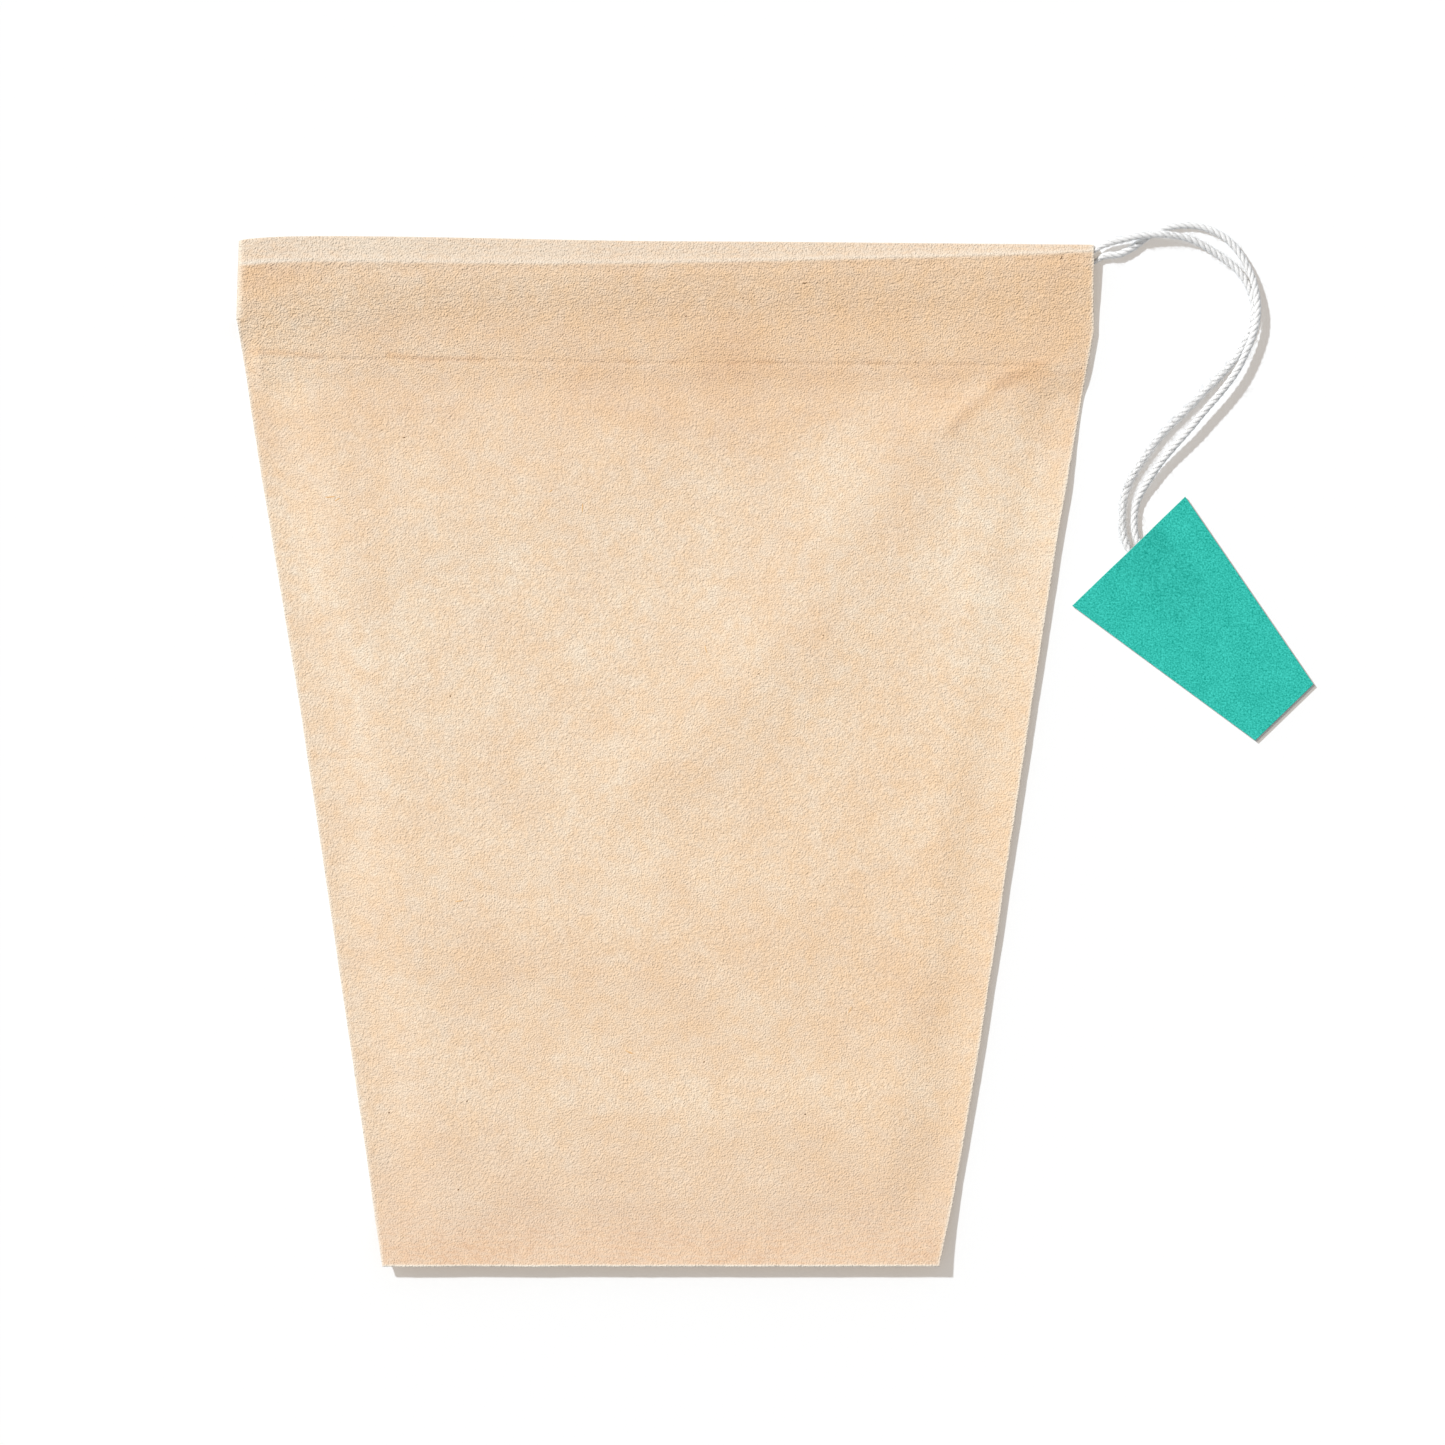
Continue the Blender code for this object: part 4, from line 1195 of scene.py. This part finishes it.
def smooth_route(points):
    """Points read from a smooth curve through the route."""
    last = len(points) - 1
    leans = [lean_at(points[max(i - 1, 0)], points[i], points[min(i + 1, last)]) for i in range(last + 1)]
    read = [points[0]]
    for i in range(last):
        start, end = points[i], points[i + 1]
        span = (end - start).length
        count = max(1, round(span / CORD_STEP))
        read += [between(start, end, leans[i], leans[i + 1], span, k / count) for k in range(1, count + 1)]
    return read


def directions(points):
    """Unit vectors along a line, one for each of its points."""
    last = len(points) - 1
    return [(points[min(i + 1, last)] - points[max(i - 1, 0)]).normalized() for i in range(last + 1)]


def travelled(points):
    """Length of the line up to each of its points."""
    lengths = [0.0]
    for before, point in zip(points, points[1:]):
        lengths.append(lengths[-1] + (point - before).length)
    return lengths


def around(way, angle):
    """A unit vector square to a way, at an angle round it from the level."""
    side = UP.cross(way).normalized()
    return side * math.cos(angle) + way.cross(side) * math.sin(angle)


def add_strand(bm, yarn, points, lengths, number):
    """A closed tube round one strand of the twist, with its fibre directions for the material."""
    middles, radii, rings = [], [], []
    for point, way, length in zip(points, directions(points), lengths):
        outer = cord_radius(point)
        radii.append(outer * STRAND_SHARE)
        angle = 2.0 * math.pi * length / TWIST_PITCH + 2.0 * math.pi * number / STRANDS
        middles.append(point + (outer - radii[-1]) * around(way, angle))
    for point, middle, way, radius, length in zip(points, middles, directions(middles), radii, lengths):
        out = middle - point
        out = (out - way * out.dot(way)).normalized()
        beside = way.cross(out)
        place = length * YARN_RATE
        swell = 1.0 + STRAND_SWELL * noise.noise(Vector((place, number * SWELLS_APART, 0.0)))
        ring = []
        for k in range(STRAND_SIDES):
            angle = 2.0 * math.pi * k / STRAND_SIDES
            beyond = out * math.cos(angle) + beside * math.sin(angle)
            ring.append(bm.verts.new(middle + radius * swell * beyond))
            turn = angle + 2.0 * math.pi * length / (YARN_TWIST * TWIST_PITCH)
            round_it = (YARN_ROUND * math.cos(turn), YARN_ROUND * math.sin(turn))
            ring[-1][yarn] = (place + number * YARNS_APART, *round_it)
        rings.append(ring)
    close_rings(bm, rings)


def make_fuzz(points):
    """Loose cotton hairs on the free string."""
    rng = random.Random(FUZZ_SEED)
    ways = directions(points)
    free = [i for i, point in enumerate(points) if point.x > FUZZ_FROM and tag_depth(point) < -FUZZ_OFF_TAG]
    weights = [fuzz_share(points[i], i > len(points) / 2) for i in free]
    bm = bmesh.new()
    for i in rng.choices(free, weights, k=FUZZ_HAIRS):
        point, way = points[i], ways[i]
        out = around(way, rng.uniform(-FUZZ_BELOW, math.pi + FUZZ_BELOW))
        length = rng.uniform(*FUZZ_LENGTH)
        lean = way * rng.choice((-1.0, -1.0, 1.0)) * rng.uniform(*FUZZ_LEAN)
        curl_way = Vector([rng.uniform(-FUZZ_CURL, FUZZ_CURL) for _ in range(3)])
        start = point + out * cord_radius(point) * FUZZ_ROOT
        line = []
        for k in range(len(FUZZ_SIZES)):
            t = k / (len(FUZZ_SIZES) - 1)
            way_out = out * (t - FUZZ_DROOP * t * t) + lean * t + curl_way * t * t
            hair = start + way_out * length * FUZZ_REACH
            hair.z = max(hair.z, FUZZ_RADIUS * 2)
            line.append(hair)
        tube(bm, line, FUZZ_RADIUS, FUZZ_SIZES, FUZZ_SIDES)
    fuzz = show("cotton_fuzz", bm, fuzz_material())
    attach(fuzz, "root")
    return fuzz


def fuzz_share(point, on_front_strand):
    """The front hem's strand is the more worn one, most of all near the tag."""
    near_tag = smooth((WORN_FROM - point.y) / WORN_REACH)
    return mix(FUZZ_FRONT, 1.0, near_tag) if on_front_strand else FUZZ_BACK


def make_string(with_pieces):
    points = smooth_route(cord_route())
    with_pieces = with_pieces + [make_fuzz(points)]
    lengths = travelled(points)
    bm = bmesh.new()
    yarn = bm.verts.layers.float_vector.new("yarn")
    for number in range(STRANDS):
        add_strand(bm, yarn, points, lengths, number)
    string = show("cotton_string", bm, cotton_material())
    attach(string, "root")
    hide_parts("drawstring")
    [tuple(point) for point in points]


# Tag


def tag_ridge(across, down):
    """Rise of the front ply over the string's two ends."""
    middle = sum(CORD_IN_AT) / 2
    level = (CORD_IN_AT[1] - CORD_IN_AT[0] + CORD_DIAMETER) / 2 + CORD_CLEARANCE
    beside = smooth(1.0 - (abs(across - middle) - level) / RIDGE_SLOPE)
    return (CORD_DIAMETER + CORD_CLEARANCE + RIDGE_SPARE) * beside * clamp(1.0 - down / RIDGE_LENGTH)


def edged(k, count):
    """Share of the way to line k of a grid whose outermost lines lie just inside its edges."""
    if k in (0, count):
        return k / count
    return mix(TAG_EDGE, 1.0 - TAG_EDGE, (k - 1) / (count - 2))


def make_tag_ply(name, node_name, level, slip, rise, upper, lower, rim):
    """One ply of the tag, with the materials of its upper and lower side; rim names its cut edge's."""
    def place(column, row):
        down = TAG_LENGTH * (1.0 - edged(row, TAG_ROWS))
        half_width = mix(TAG_WIDE, TAG_NARROW, down / TAG_LENGTH) / 2
        across = half_width * (2.0 * edged(column, TAG_COLUMNS) - 1.0)
        return tag_point(across, down + slip, level + rise(across, down))

    ply = show(name, grid_piece(TAG_COLUMNS, TAG_ROWS, place), upper, lower)
    thicken = ply.modifiers.new("card", "SOLIDIFY")
    thicken.thickness = TAG_CARD
    thicken.offset = 0.0
    thicken.material_offset = 1
    thicken.material_offset_rim = rim
    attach(ply, "root")
    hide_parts(node_name)
    return ply


def make_tag():
    card, edge = card_material(), card_edge_material()
    front = make_tag_ply("tag_front_card", "tag_front_ply", TAG_CARD + TAG_GLUE + TAG_CARD / 2, 0.0,
                         tag_ridge, card, edge, 1)
    back = make_tag_ply("tag_back_card", "tag_back_ply", TAG_CARD / 2, TAG_SLIP,
                        lambda across, down: 0.0, edge, card, 0)
    return [front, back]


bpy.context.scene.view_settings.view_transform = "Standard"
make_camera()
make_sun()
make_world()
make_floor()
make_bag()
make_flecks("paper_flecks", FLECKS, FLECK_RADIUS, fleck_material())
make_flecks("amber_fibres", FIBRES, FIBRE_RADIUS, fibre_material())
make_string(make_tag())
